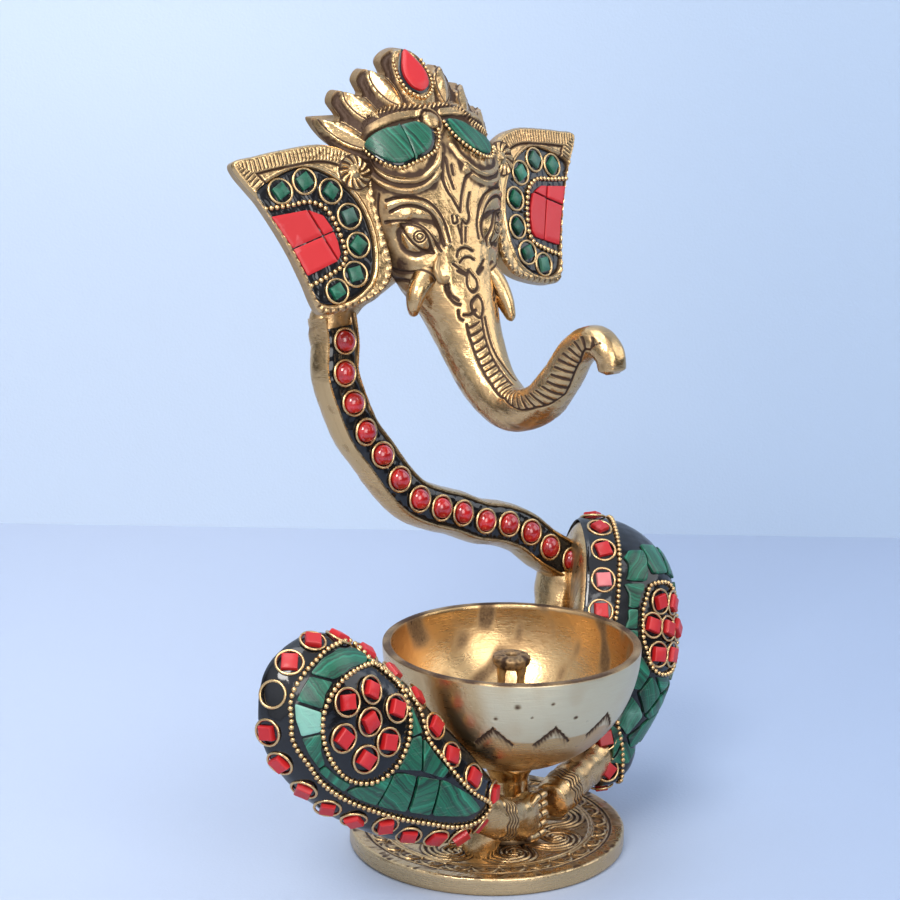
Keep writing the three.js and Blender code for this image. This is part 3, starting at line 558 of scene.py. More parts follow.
def brass_wire():
    """Drawn brass wire and beads: bright, with dirt only in specks."""
    colours = bpy.context.scene.lamp_colours
    g = Graph("brass_wire")
    fine = g.noise(900.0, 3.0)
    clouds = g.noise(120.0, 3.0)
    bright, dull = scaled(colours.brass, 1.12), scaled(colours.copper, 0.5)
    colour = g.blend(clouds.stepped(0.55, 0.8) * 0.55, bright, dull)
    return g.finish(Base_Color=colour, Metallic=1.0, Roughness=0.17 + fine * 0.18,
                    Normal=g.bump(fine, 0.00006))


def malachite():
    """Polished malachite. Each slab carries its own banding direction in a point value, and
    noise on that value gives bands that waver; some slabs are worn pale."""
    colours = bpy.context.scene.lamp_colours
    g = Graph("malachite")
    waver = g.noise(170.0, 3.0)
    band = g.value("band") + (waver - 0.5) * 1.1
    line = {"noise_dimensions": "1D"}
    wide = g.node("ShaderNodeTexNoise", line, {"W": band, "Scale": 0.85, "Detail": 1.0})
    thin = g.node("ShaderNodeTexNoise", line, {"W": band + 40.0, "Scale": 4.4, "Detail": 2.0})
    mixed = wide * 0.55 + thin * 0.45
    dark = g.blend(mixed.stepped(0.36, 0.55), scaled(colours.malachite, 0.22), colours.malachite)
    colour = g.blend(mixed.stepped(0.55, 0.70) * 0.85, dark, colours.malachite_pale)
    worn = g.value("worn") * g.noise(60.0, 4.0).stepped(0.38, 0.62)
    scratch = g.noise(260.0, 5.0, (1.0, 1.0, 9.0)).stepped(0.60, 0.72)
    colour = g.blend(worn * 0.7 + scratch * 0.10, colour, (0.30, 0.60, 0.48))
    pits = g.noise(900.0, 3.0)
    return g.finish(Base_Color=colour, Roughness=0.30 + mixed * 0.16 + scratch * 0.2, Coat_Weight=0.15,
                    Normal=g.bump(pits * 0.5 + thin * 0.6 + scratch, 0.00010))


def red_stone():
    """Sawn red stone: a red of its own tone for each stone, with pale scuffs."""
    colours = bpy.context.scene.lamp_colours
    g = Graph("red_stone")
    tone = g.value("tone")
    clouds = g.noise(240.0, 4.0)
    scuff = g.noise(150.0, 8.0, (1.0, 2.2, 0.8)).stepped(0.62, 0.70)
    deep = g.blend(tone * 0.5, colours.red, scaled(colours.red, 0.62))
    pale = g.value("pale")
    colour = g.blend((scuff * 0.34 * clouds).larger(pale * 0.72), deep, (0.80, 0.26, 0.26))
    return g.finish(Base_Color=colour, Roughness=0.36 + clouds * 0.2, Coat_Weight=0.12,
                    Normal=g.bump(clouds + scuff * 0.6, 0.00012))


def coral():
    """Polished coral: deep glossy red with darker clouds."""
    colours = bpy.context.scene.lamp_colours
    g = Graph("coral")
    clouds = g.noise(260.0, 3.0)
    colour = g.blend(clouds.stepped(0.35, 0.75), colours.coral, scaled(colours.coral, 0.5))
    pits = g.noise(1300.0, 2.0).stepped(0.68, 0.80)
    return g.finish(Base_Color=colour, Roughness=0.12 + pits * 0.25 + clouds * 0.06, Coat_Weight=0.8,
                    Normal=g.bump(1.0 - pits, 0.00006))


def lac():
    """Black lac: smeared by hand, glossy, dusty in places."""
    colours = bpy.context.scene.lamp_colours
    g = Graph("lac")
    smear = g.noise(330.0, 3.0)
    dust = g.noise(60.0, 4.0).stepped(0.62, 0.90)
    colour = g.blend(dust * 0.22, colours.lac, (0.035, 0.033, 0.031))
    return g.finish(Base_Color=colour, Roughness=0.10 + dust * 0.2, Coat_Weight=0.0,
                    Normal=g.bump(smear, 0.00014, 0.5))


class LAMP_OT_finishes(bpy.types.Operator):
    """Mix the lamp's metals, stones and lac"""

    bl_idname = "lamp.finishes"
    bl_label = "Finishes"

    def execute(self, context):
        for recipe in (brass_casting, brass_bowl, brass_wire, malachite, red_stone, coral, lac):
            recipe()
        return {"FINISHED"}


BASE_RADIUS = 43.0
BASE_HEIGHT = 5.8
BASE_COLUMNS = 720
BASE_SIDE = [[42.75, 5.55], [43, 5.1], [43, 4.2], [43, 2.9], [43, 1.6], [43, 0.8], [42.6, 0.25],
             [42.2, 0], [30, 0], [2, 0]]
UPRIGHT_ROWS = 6
NICK_TOWARDS = -99
FIELD_DROP = 0.6
PETALS = 26
SCROLLS = 8
SCROLL = [[0, 21], [3, 26.5], [7.5, 29.5], [12.5, 28.5], [14.6, 24.6], [12.6, 20.6], [9.2, 20.9], [8.4, 23.9],
          [10.6, 25.2]]
SCROLL_TAIL = [[14.6, 24.6], [16.6, 19.8], [18.85, 21]]


def base_relief(radius, angle):
    """Height of the base plate's top: a plain rim with dots, a ring of petals between
    raised circle lines, and inside it a band of scrolls, each a ridge with two echoes."""
    height = -FIELD_DROP * ramp(39.4, 38.6, radius)
    for line in (38.0, 33.2, 32.2):
        height += 0.38 * hill(radius - line, 0.34)
    height += 0.22 * hill(radius - 15.5, 0.5)
    petal = (angle * PETALS / (2 * np.pi)) % 1.0 - 0.5
    across = petal * 2 * np.pi * 36.0 / PETALS
    along = radius - 33.8
    on_ring = ramp(33.2, 33.9, radius) * ramp(38.2, 37.8, radius)
    rim = 3.5 * np.clip(1 - np.abs(across / 3.9) ** 2.2, 0, 1) ** 0.6
    height += on_ring * 0.5 * hill(along - rim, 0.38)
    height += on_ring * 0.34 * hill(np.hypot(across * 1.1, (along - 1.1) * 0.8), 0.85)
    height += on_ring * 0.32 * hill(np.hypot(np.abs(across) - 4.3, (along - 3.0) * 0.7), 0.5)
    period = 2 * np.pi * 24.0 / SCROLLS
    spot = np.stack([(angle % (2 * np.pi)) * 24.0 % period, radius], -1)
    away = np.full(radius.shape, 3.0)
    for line in (SCROLL, SCROLL_TAIL):
        ridge = smooth_line(line, 40)
        for shift in (-period, 0, period):
            away = np.minimum(away, off_line(spot, ridge + [shift, 0], 3.0))
    inner = ramp(16.2, 17.4, radius) * ramp(31.8, 30.8, radius)
    height += inner * 0.42 * np.cos(2 * np.pi * away / 1.75) * ramp(3.0, 1.6, away)
    dots = np.cos(angle * 150) * hill(radius - 39.6, 0.42)
    return height - 0.16 * np.clip(dots, 0, 1)


class LAMP_OT_base(bpy.types.Operator):
    """Make the round base plate with its chased ring of petals and scrolls"""

    bl_idname = "lamp.base"
    bl_label = "Base"

    def execute(self, context):
        radius = np.concatenate([np.linspace(0.6, 14, 12), np.linspace(14.4, 42.2, 108)])
        angle = np.linspace(0, 2 * np.pi, BASE_COLUMNS, endpoint=False)
        r, a = np.broadcast_arrays(radius[:, None], angle)
        relief = base_relief(r, a)
        flat = np.stack([r * np.cos(a), r * np.sin(a), np.zeros_like(r)], -1)
        edge_wear = waves(flat * [1, 1, 0], 5.0, 4)
        relief = relief + 0.05 * edge_wear - 0.22 * ramp(40.2, 42.4, r) * np.clip(edge_wear, 0, 1)
        top = flat + [0, 0, BASE_HEIGHT - 0.02]
        top[..., 2] += np.minimum(relief, 0) + np.maximum(relief, 0) * ramp(41, 39, r)
        side = turned(BASE_SIDE, BASE_COLUMNS)
        upright = side[:UPRIGHT_ROWS]
        nick = hill((angle - math.radians(NICK_TOWARDS)) * BASE_RADIUS, 1.1)
        outward = unit(upright * [1, 1, 0])
        dent = 0.10 * waves(upright, 6.0, 8) + 0.55 * nick * ramp(2.2, 4.6, upright[..., 2])
        dent = outward * dent[..., None]
        side[:UPRIGHT_ROWS] -= np.maximum(dent * outward, 0) * outward
        grid = np.concatenate([top, side])
        cavity = 0.16 + hollows(relief, 5, 0.26)
        worn = np.concatenate([cavity + 0.35 * ramp(38.6, 39.4, r) * ramp(-0.2, 0.6, edge_wear),
                               np.broadcast_to(0.18 + 0.7 * nick, side.shape[:2])])
        bare = np.zeros(grid.shape[:2])
        bare[len(top):len(top) + UPRIGHT_ROWS] = 0.25
        Form().sheet(grid, patina=worn, bare=bare).piece(
            "base_cast", "cast_brass", "brass_cast", ["base_plate"])
        return {"FINISHED"}


BOWL_RIM = 39.5
BOWL_TOP = 68.0
BOWL_BOTTOM = 29.5
BOWL_WALL = 2.6
BOWL_Y = -9.8
BOWL_COLUMNS = 640
PEAKS = 12
PEAK_TURN = 9.8
PEAK_TOP = 54.3
PEAK_RADIUS = 36.5
LEDGE = 48.6
# Where the bowl's side shows lighter bare brass, filed metal that is also a painted sheen on the stretch
# where the light falls: its middle, and how far that fades each way
BARE_AND_SHEEN_TOWARDS = 262
BARE_AND_SHEEN_REACH = (1.05, 0.45)
# Dents in the bowl's side: degrees round it, height and size
DENTS = ((231.5, 61.2, 1.1), (247, 61.8, 0.7), (238, 57.6, 0.5), (259, 56.1, 0.8), (222, 57.0, 0.7))
STAND_LOW, STAND_HIGH = 5.5, 29.2
WICK_TOP, WICK_NECK, WICK_FOOT = 64.0, 60.0, 33.0
WICK_FACING = -40
WICK_NOTCHES = ((-72, 0.8), (-158, 0.7))


def bowl_side(share, radius, bottom):
    """Radius and height of the bowl's side at shares of the way from its bottom to its rim."""
    t = share * np.pi / 2
    return np.stack([radius * np.sin(t) ** 0.9, bottom + (BOWL_TOP - bottom) * (1 - np.cos(t))], -1)


def share_at(height, bottom):
    """The share of the way up at which the bowl's side has a height."""
    return np.arccos(np.clip(1 - (height - bottom) / (BOWL_TOP - bottom), -1, 1)) / (np.pi / 2)


class LAMP_OT_bowl(bpy.types.Operator):
    """Make the bowl with its chiselled peaks, the stand under it and the wick holder in it"""

    bl_idname = "lamp.bowl"
    bl_label = "Bowl, stand and wick holder"

    def execute(self, context):
        self.bowl()
        self.stand()
        self.wick_holder()
        return {"FINISHED"}

    def bowl(self):
        """The bowl: its outside and inside turned, with peaks cut in the outside. A peak is a
        triangle whose edges are deep cuts, with hatching that fades downward. Above a ledge,
        one stretch of the side shows lighter bare brass: filed metal, and also a painted sheen
        where the light falls; the rest of the outside gets cloudy darkening that is patina and
        also painted shade."""
        heights = np.concatenate([np.linspace(33, 45.5, 14), np.linspace(46.0, 57.5, 46),
                                  np.linspace(58.5, 67.4, 12)])
        outside = bowl_side(share_at(heights, BOWL_BOTTOM), BOWL_RIM, BOWL_BOTTOM)
        inside = bowl_side(np.linspace(0.995, 0.03, 46), BOWL_RIM - BOWL_WALL, BOWL_BOTTOM + BOWL_WALL)
        lip = [[BOWL_RIM - 0.05, 67.75], [BOWL_RIM - 0.35, 68], [BOWL_RIM - 1.3, 68], [BOWL_RIM - 2.3, 67.98]]
        foot = [[3, BOWL_BOTTOM], [8.7, BOWL_BOTTOM], [9.6, BOWL_BOTTOM + 0.4]]
        profile = np.vstack([foot, outside, lip, inside])
        grid = turned(profile, BOWL_COLUMNS, BOWL_Y)
        height = grid[..., 2]
        first, last = 3, 3 + len(heights)
        angle = np.linspace(0, 2 * np.pi, BOWL_COLUMNS, endpoint=False)[None]
        part = (angle - math.radians(PEAK_TURN)) * PEAKS / (2 * np.pi)
        across = ((part + 0.5) % 1.0 - 0.5) * 2 * np.pi * PEAK_RADIUS / PEAKS
        which = np.floor(part + 0.5)
        top = PEAK_TOP + 0.7 * np.sin(which * 2.3)
        across = across + 0.5 * np.sin(which * 5.1)
        edge = top - np.abs(across) * 0.98 - 0.35 * np.abs(np.sin(across * 1.9))
        below = edge - height
        cut = hill(below - 0.3, 0.42) * (np.abs(across) < 6.2)
        shade = (below > 0) * ramp(5.2, 0.2, below) * ramp(6.4, 5.2, np.abs(across))
        hatch = shade * (0.75 + 0.25 * np.sin(across * 5.2 + height * 2.6)) * (1 - 0.35 * ramp(-1, 3, across))
        outer = np.zeros(height.shape)
        outer[first:last] = 1
        normal = unit(grid - [0, BOWL_Y, 62.0])
        wave = waves(grid, 16.0, 3)
        depth = outer * (0.34 * cut + 0.16 * hatch) + 0.05 * np.clip(wave, 0, 1)
        dents = np.zeros(height.shape)
        for turn, level, width in DENTS:
            arc = (np.degrees(angle) - turn) * math.radians(1) * 37
            dents += hill(np.hypot(arc, (height - level) * 1.2), width)
        depth = depth + outer * 0.16 * dents
        sign = np.ones(height.shape)
        sign[last + 3:] = -1
        grid = grid - normal * (depth * sign)[..., None]
        inner = np.zeros(height.shape)
        inner[last + 3:] = 1
        patina = outer * np.clip(cut + 0.95 * hatch + 0.8 * dents, 0, 1)
        patina += (0.12 + 0.42 * ramp(0.1, 0.9, wave)) * (1 - outer) * inner
        patina[last:last + 4] = 0.55 + 0.2 * wave[last:last + 4]
        ledge = LEDGE + 0.5 * np.sin(angle * 7) + 1.3 * hill(across, 4.0)
        # Painted sheen: the lighter bare brass above the ledge is kept to the stretch of the side that the
        # light falls on
        aim = np.abs((angle - math.radians(BARE_AND_SHEEN_TOWARDS) + np.pi) % (2 * np.pi) - np.pi)
        filed = 0.12 + 0.8 * ramp(*BARE_AND_SHEEN_REACH, aim + 0.12 * wave)
        worn = 1 - 0.25 * ramp(0.2, 1.0, wave)
        bare = outer * ramp(-0.35, 0.35, height - ledge) * filed * worn * (1 - 0.8 * hatch)
        # Painted shade with patina: cloudy darkening on the outside away from that lit stretch
        patina += outer * 0.22 * ramp(0.0, 0.9, wave) * (1 - filed)
        Form().sheet(grid, patina=patina, bare=bare).piece(
            "bowl_shell", "bowl_brass", "brass_cast", ["bowl"], body="bowl", sharp=0.9)

    def stand(self):
        """The stand: a waisted post with two rounded beads."""
        z = np.linspace(STAND_LOW, STAND_HIGH, 60)
        t = (z - STAND_LOW) / (STAND_HIGH - STAND_LOW)
        r = 6.0 + 4.0 * ramp(0.34, 0.0, t) + 2.0 * ramp(0.78, 1.0, t) - 0.35 * hill(t - 0.2, 0.03)
        grid = turned(np.stack([r, z], -1), 96, BOWL_Y)
        grid += unit(grid - [0, BOWL_Y, 17]) * (waves(grid, 7.0, 5) * 0.1)[..., None]
        Form().sheet(grid, patina=ramp(0.12, 0.0, t)[:, None] * 0.6).piece(
            "stand_post", "cast_brass", "brass_cast", ["bowl_stand"])

    def wick_holder(self):
        """The wick holder: a thick holed disc, filed uneven, on two legs with a gap between
        them, and a coned foot."""
        top, neck, foot = WICK_TOP, WICK_NECK, WICK_FOOT
        ring = [[1.75, top - 0.4], [2.1, top], [4.9, top - 0.05], [5.7, top - 0.5], [5.85, top - 1.6],
                [5.6, neck + 1.2],
                [4.7, neck + 0.3], [4.0, neck], [2.0, neck], [1.75, neck + 0.6]]
        profile = smooth_line(ring, 34, closed=True)
        grid = turned(profile, 96, BOWL_Y)
        away = grid - [0, BOWL_Y, 0]
        rough = waves(grid, 5.0, 11) * 0.16 + waves(grid, 2.2, 12) * 0.06
        far = np.linalg.norm(away[..., :2], axis=-1)
        outer = ramp(2.6, 4.8, far)
        turn = np.arctan2(away[..., 1], away[..., 0])
        notch = sum(hill((turn - math.radians(towards)) * 5, width) for towards, width in WICK_NOTCHES)
        grid = grid + unit(away * [1, 1, 0]) * ((-np.abs(rough) - 0.45 * notch) * outer)[..., None]
        grid[..., 2] -= np.abs(rough) * outer * 0.7
        form = Form().sheet(grid, closed_along=True, patina=0.35 + 1.6 * np.abs(rough) + 0.4 * notch * outer)
        facing = math.radians(WICK_FACING)
        right = np.array([math.cos(facing), math.sin(facing), 0.0])
        for sign in (-1, 1):
            z = np.linspace(foot + 1.5, neck + 0.8, 40)
            path = np.stack([np.zeros(40), np.full(40, BOWL_Y), z], -1) + right * sign * 2.95
            wide = 1.25 + 0.5 * hill(z - neck, 2.2) + 0.3 * hill(z - foot - 4, 2)
            leg = tube(path, right, wide, 3.0, 28, 3.0)
            leg += normals_of(leg) * (waves(leg, 6.0, 13 + sign) * 0.12 - 0.08)[..., None]
            form.sheet(leg, patina=0.3 + 0.25 * waves(leg, 5.0, 14))
        z = np.linspace(foot, foot + 4.0, 14)
        cone = turned(np.stack([7.0 - 2.5 * ramp(0, 4, z - foot), z], -1), 64, BOWL_Y)
        form.sheet(cone, patina=0.3)
        form.piece("wick_post", "bowl_brass", "brass_cast", ["wick_holder"], body="wick_holder")


CORALS = [[-29.7, 157.2], [-31, 147.8], [-28.8, 138.5], [-25.3, 129.3], [-19.8, 121.5], [-14.2, 113.3],
          [-7.2, 106.1], [1.1, 102], [9.4, 99.1], [18.4, 95.1], [27.8, 92.6], [36.7, 88.5], [44.1, 82.4],
          [53.1, 76.6]]
SPINE_START = [-29.9, 165.5]
SPINE_END = [57.5, 73.5]
SPINE_LEAN = 0.18
SPINE_OUT = unit(np.array([0.0, -1.0, SPINE_LEAN]))
SPINE_Y, SPINE_Z = 22, 78
# The rail's section: across it, and behind its front plane
RAIL = [[-6.3, 0.9], [-5.95, 0.15], [-5.45, 0.05], [-5.1, 0.5], [-4.9, 1.25], [0, 1.3], [4.9, 1.25],
        [5.1, 0.5], [5.45, 0.05], [5.95, 0.15], [6.3, 0.9], [7.0, 3.2], [7.2, 6.2], [6.0, 8.8],
        [2.8, 9.8], [0, 10], [-2.8, 9.8], [-6.0, 8.8], [-7.2, 6.2], [-7.0, 3.2]]
CORAL_RING = 4.35
CORAL_RING_WIRE = 0.46
CORAL_RADIUS = 3.25


def on_spine(places):
    """Places across and up, laid on the spine's leaning front plane."""
    places = np.asarray(places, float)
    return np.stack([places[..., 0], SPINE_Y + (places[..., 1] - SPINE_Z) * SPINE_LEAN, places[..., 1]], -1)


def spine_path(low, high, count):
    """Points and sideways directions along the spine between two shares of its length."""
    dense = catmull(on_spine([SPINE_START, *CORALS, SPINE_END]), np.linspace(0, 1, 3000))
    far = walked(dense)
    want = np.linspace(low, high, count) * far[-1]
    path = np.stack([np.interp(want, far, dense[:, k]) for k in range(3)], -1)
    along = unit(np.gradient(path, axis=0))
    return path, unit(np.cross(along, -SPINE_OUT))


class LAMP_OT_spine(bpy.types.Operator):
    """Make the curved spine: brass rails, black lac between them and the corals' rings"""

    bl_idname = "lamp.spine"
    bl_label = "Spine"

    def execute(self, context):
        self.rail()
        self.bed()
        self.rings()
        return {"FINISHED"}

    def rail(self):
        """The brass rail: one rounded section of points across and behind, swept along the
        spine, with cast unevenness and darker corners where it meets the lac."""
        section = smooth_line(RAIL, 96, closed=True)
        path, side = spine_path(0.004, 1.0, 520)
        grid = path[:, None] + side[:, None] * section[:, :1] - SPINE_OUT * section[:, 1:]
        wave = waves(grid, 8.0, 21)
        file_marks = waves(grid, 2.6, 22)
        grid = grid + normals_of(grid) * (-np.abs(wave) * 0.10 - np.abs(file_marks) * 0.04)[..., None]
        corner = hill(section[:, 1] - 1.0, 0.45) * hill(np.abs(section[:, 0]) - 5.0, 0.45)
        under = hill(section[:, 1] - 2.6, 0.7) * hill(np.abs(section[:, 0]) - 6.2, 0.6)
        darkening = np.clip(corner * 0.9 + under * 0.5, 0, 1)[None] + 0.2 * ramp(0.3, 0.9, wave)
        Form().sheet(grid, patina=darkening).piece("spine_rail", "cast_brass", "brass_cast", ["spine"])

    def bed(self):
        """The lac: a low cushion between the rails that swells unevenly round the rings."""
        path, side = spine_path(0.028, 0.996, 420)
        across = np.linspace(-5.0, 5.0, 36)
        swell = 0.75 * (1 - np.abs(across / 5.1) ** 4)
        front = path[:, None] + side[:, None] * across[:, None] + SPINE_OUT * (swell[:, None] - 0.72)
        front = front + SPINE_OUT * (0.14 * waves(front, 4.5, 31))[..., None]
        back = (path[:, None] + side[:, None] * across[::-1, None] * 0.98 - SPINE_OUT * 1.15)
        Form().sheet(np.concatenate([front, back[:, ::5]], 1)).piece(
            "spine_bed", "lac", "lac_black", ["spine_lac"], sharp=1.0)

    def rings(self):
        """A ring of drawn wire round each coral, each a little tilted."""
        places = on_spine(CORALS) + SPINE_OUT * 0.25
        rng = np.random.default_rng(5)
        ups = SPINE_OUT + rng.normal(0, 0.03, (len(CORALS), 3))
        Form().scatter(hoop(CORAL_RING, CORAL_RING_WIRE, 56, 10), places, ups,
                       scale=rng.uniform(0.97, 1.03, (len(CORALS), 3))).piece(
            "spine_rings", "brass_wire", "brass_cast", ["spine_bezels"])


class LAMP_OT_corals(bpy.types.Operator):
    """Make the spine's round coral stones"""

    bl_idname = "lamp.corals"
    bl_label = "Corals"

    def execute(self, context):
        rng = np.random.default_rng(9)
        for number, place in enumerate(CORALS, 1):
            t = np.linspace(0.04, 1.0, 22)[:, None] * np.pi / 2
            a = np.linspace(0, 2 * np.pi, 44, endpoint=False)
            wide = CORAL_RADIUS * (1 + 0.03 * np.sin(2 * a + rng.uniform(0, 6)) + 0.015 * np.sin(3 * a))
            grid = np.stack([wide * np.sin(t) ** 0.92 * np.cos(a), wide * np.sin(t) ** 0.92 * np.sin(a),
                             0.3 + 2.5 * np.cos(t) * np.ones_like(a)], -1)
            grid = np.concatenate([grid, grid[-1:] * [1, 1, 0]])
            dome = Form().sheet(grid)
            Form().scatter(dome, on_spine([place]) + SPINE_OUT * 0.3, SPINE_OUT[None]).piece(
                f"coral_{number:02d}", "coral", "coral_red", [f"coral_stone_{number:02d}"], sharp=1.2)
        return {"FINISHED"}


HEAD = [[42, 227, 15, 2.5], [38, 221, 21, 5.5], [33, 210, 23.4, 9.5], [30.5, 198, 24.3, 11.5],
        [28, 188, 22, 12], [24, 178, 18, 11.5], [18, 168, 13, 10], [11, 156, 10, 8.5], [3, 146, 8.5, 7.5],
        [-8, 140.5, 7.5, 6.5], [-20, 144.5, 7, 6], [-29, 154, 6.3, 5.5], [-36, 163.5, 5.6, 5],
        [-43, 167, 5, 4.5], [-48.5, 164, 4.5, 4], [-50, 158.5, 4, 3.5]]
HEAD_POWER = 2.2
FACE_END = 56.0
TRUNK_END = 161.4
CROWN_FRONT = (35.5, 0.79, 227.0, 0.016)


def crown_front(x, z):
    """The crown's front skin: it leans back and curves away at the sides."""
    start, lean, level, curve = CROWN_FRONT
    return start + lean * (z - level) + curve * x * x


class HeadSkin:
    """The head from the top of the skull to the trunk's tip: far is the distance down its
    middle line, and angle runs from 0 at the front toward the figure's left."""

    def __init__(self):
        runs = catmull(HEAD, np.linspace(0, 1, 3000))
        self.far = walked(runs[:, :2])
        self.runs = runs
        self.way = unit(np.gradient(runs[:, :2], axis=0))

    def at(self, far, angle):
        """Points at distances and angles."""
        y, z, a, b = (np.interp(far, self.far, self.runs[:, k]) for k in range(4))
        ty, tz = (np.interp(far, self.far, self.way[:, k]) for k in (0, 1))
        r = (np.abs(np.cos(angle)) ** HEAD_POWER + np.abs(np.sin(angle)) ** HEAD_POWER) ** (-1 / HEAD_POWER)
        forward = b * np.cos(angle) * r
        points = np.stack([a * np.sin(angle) * r, y + tz * forward, z - ty * forward], -1)
        tuck = ramp(2.0, 3.4, far) * ramp(24, 16, far) * ramp(1.9, 1.3, np.abs(angle))
        front = crown_front(points[..., 0], points[..., 2]) - 0.35
        points[..., 1] += tuck * np.minimum(front - points[..., 1], 0)
        return points

    def up(self, far, angle):
        """Normals at distances and angles."""
        small = 0.02
        down = self.at(far + small * 5, angle) - self.at(far - small * 5, angle)
        across = self.at(far, angle + small) - self.at(far, angle - small)
        return unit(np.cross(down, across))

    def girth(self, far):
        """Millimetres round the head for each radian, near the front."""
        a, b = (np.interp(far, self.far, self.runs[:, k]) for k in (2, 3))
        return 0.8 * a + 0.2 * b

    def flat(self, strokes):
        """Places in degrees and millimetres as places unrolled in millimetres."""
        p = np.asarray(strokes, float)
        return np.stack([np.radians(p[..., 0]) * self.girth(p[..., 1]), p[..., 1]], -1)

    def lay(self, places):
        """Points and normals at unrolled places."""
        angle = places[..., 0] / self.girth(places[..., 1])
        return self.at(places[..., 1], angle), self.up(places[..., 1], angle)


def along_line(places, line, reach):
    """The distance of places from a line, and how far along it their nearest points lie."""
    off = np.full(places.shape[:-1], float(reach))
    arc = np.zeros(places.shape[:-1])
    far = walked(line)
    for a, b, start, stop in zip(line[:-1], line[1:], far[:-1], far[1:]):
        way = b - a
        share = np.clip(((places - a) @ way) / max(way @ way, 1e-12), 0, 1)
        gap = np.linalg.norm(places - a - share[..., None] * way, axis=-1)
        closer = gap < off
        off = np.where(closer, gap, off)
        arc = np.where(closer, start + share * (stop - start), arc)
    return off, arc


# Chased lines of the face, in degrees and millimetres: those of one side are mirrored
SIDE_LINES = [
    [(-64, 30), (-52, 29.4), (-38, 29.8), (-28, 31.4), (-20, 34.8), (-16, 39.9), (-16, 46.2)],
    [(-62, 33.6), (-46, 32.3), (-35, 33), (-26, 35.5), (-22, 39.5), (-21, 44.4), (-22, 47.3)],
    [(-72, 36.5), (-56, 36.5), (-45, 37.3), (-36, 39.4), (-31, 43.4), (-28, 46.9), (-27, 48.9)],
    [(-55, 37.7), (-46, 38.2), (-38, 40.2), (-35, 43.9), (-35, 49.1)],
    [(-55, 37.7), (-54, 40.7), (-50, 44.6), (-44, 47.3), (-35, 49.1)],
    [(-104, 46.9), (-96, 50.4), (-74, 52.9), (-58, 54.3), (-48, 56.5)],
    [(-72, 28), (-77, 32.3), (-83, 39.2), (-100, 46.4), (-118, 52.4)],
    [(-20, 54.4), (-15, 56.4), (-8, 58.5)],
    [(-18, 57.1), (-9, 59.1)],
    [(-38, 59.1), (-43, 62.6), (-38, 66), (-32, 66.7)],
    [(-36, 60.4), (-39, 63.2), (-32, 65.5)],
    [(-38, 68.3), (-40, 70.4), (-36, 71.4)],
    [(-112, 52.7), (-94, 53.9), (-79, 56), (-67, 59.6)],
]
MIDDLE_LINES = [
    [(-6, 19.3), (-10, 24.3), (-8, 28.6), (-3, 33.2), (0, 36)],
    [(16, 24.3), (11, 25.5), (4, 31), (0, 36)],
    [(-4, 20.2), (-4, 23.7), (-2, 28.2)],
    [(0, 22), (0, 24.1)],
    [(-8, 37.2), (-8, 39.7), (-4, 39.4), (-4, 37.7)],
    [(12, 30.4), (8, 34.3), (8, 38.4), (4, 40.4), (1, 39)],
    [(-4, 40.7), (-3, 45)],
    [(3, 41.9), (0, 46.9)],
    [(0, 39.9), (-4, 47.1)],
    [(-13, 51.8), (-9, 49.6), (-2, 48.9), (6, 50.4)],
    [(-12, 54.3), (-6, 52.7), (1, 52.6), (6, 53.9)],
    [(-4, 57.5), (-9, 59.8), (-12, 62.4), (-7, 64), (2, 63.2), (4, 61), (0, 59.1), (-4, 57.5)],
    [(-7, 65.8), (-15, 67.1), (-15, 69.9), (-6, 71.8), (2, 69.7), (4, 66.7), (0, 65.3), (-7, 65.8)],
    [(-32, 69.9), (-22, 70.2), (-10, 69.2)],
    [(-3, 72.1), (-7, 77), (-8, 82.9), (-2, 90.8), (4, 99.5)],
    [(3, 72.1), (2, 76.7), (2, 82.3), (12, 89.8), (24, 96.9)],
]
RIB_EDGE = [(-32, 72.5), (-35, 76.5), (-38, 82.5), (-38, 89.5), (-40, 96.5), (-48, 106.9), (-95, 115.1),
            (-116, 120.2), (-140, 123.5), (-163, 128.4), (-158, 133.8), (-150, 142.4), (-100, 152.3),
            (-51, 153.4)]
RIB_STOP = [(-7, 72.5), (-7, 77), (-8, 82.9), (-2, 90.8), (4, 99.5), (-20, 108), (-60, 118), (-93, 128.2),
            (-86, 136.1), (-86, 142.9), (-63, 148.7), (-40, 153.4)]
RIB_PITCH = 2.7
ROPE = [(-104, 10.6), (-96, 6), (-51, 3.6), (-24, 3.2), (-2, 3.9), (20, 3.7), (36, 6), (44, 9.8), (66, 13.5)]
BAND = [(-104, 13.0), (-80, 9.4), (-57, 8), (-36, 6.9), (-24, 6.5), (-12, 6.5)]
BROW_RIMS = [[(-88, 15.6), (-78, 19.7), (-60, 23.2), (-43, 24.7), (-29, 24.7), (-18, 22.6), (-10, 20.2),
              (-6, 17.3)], [(-82, 22.4), (-61, 25.7), (-44, 27.4), (-30, 27.2), (-20, 25.5), (-12, 23)]]
EYE = (-42, 42.8)
ORNAMENT = (-4, 9.1)
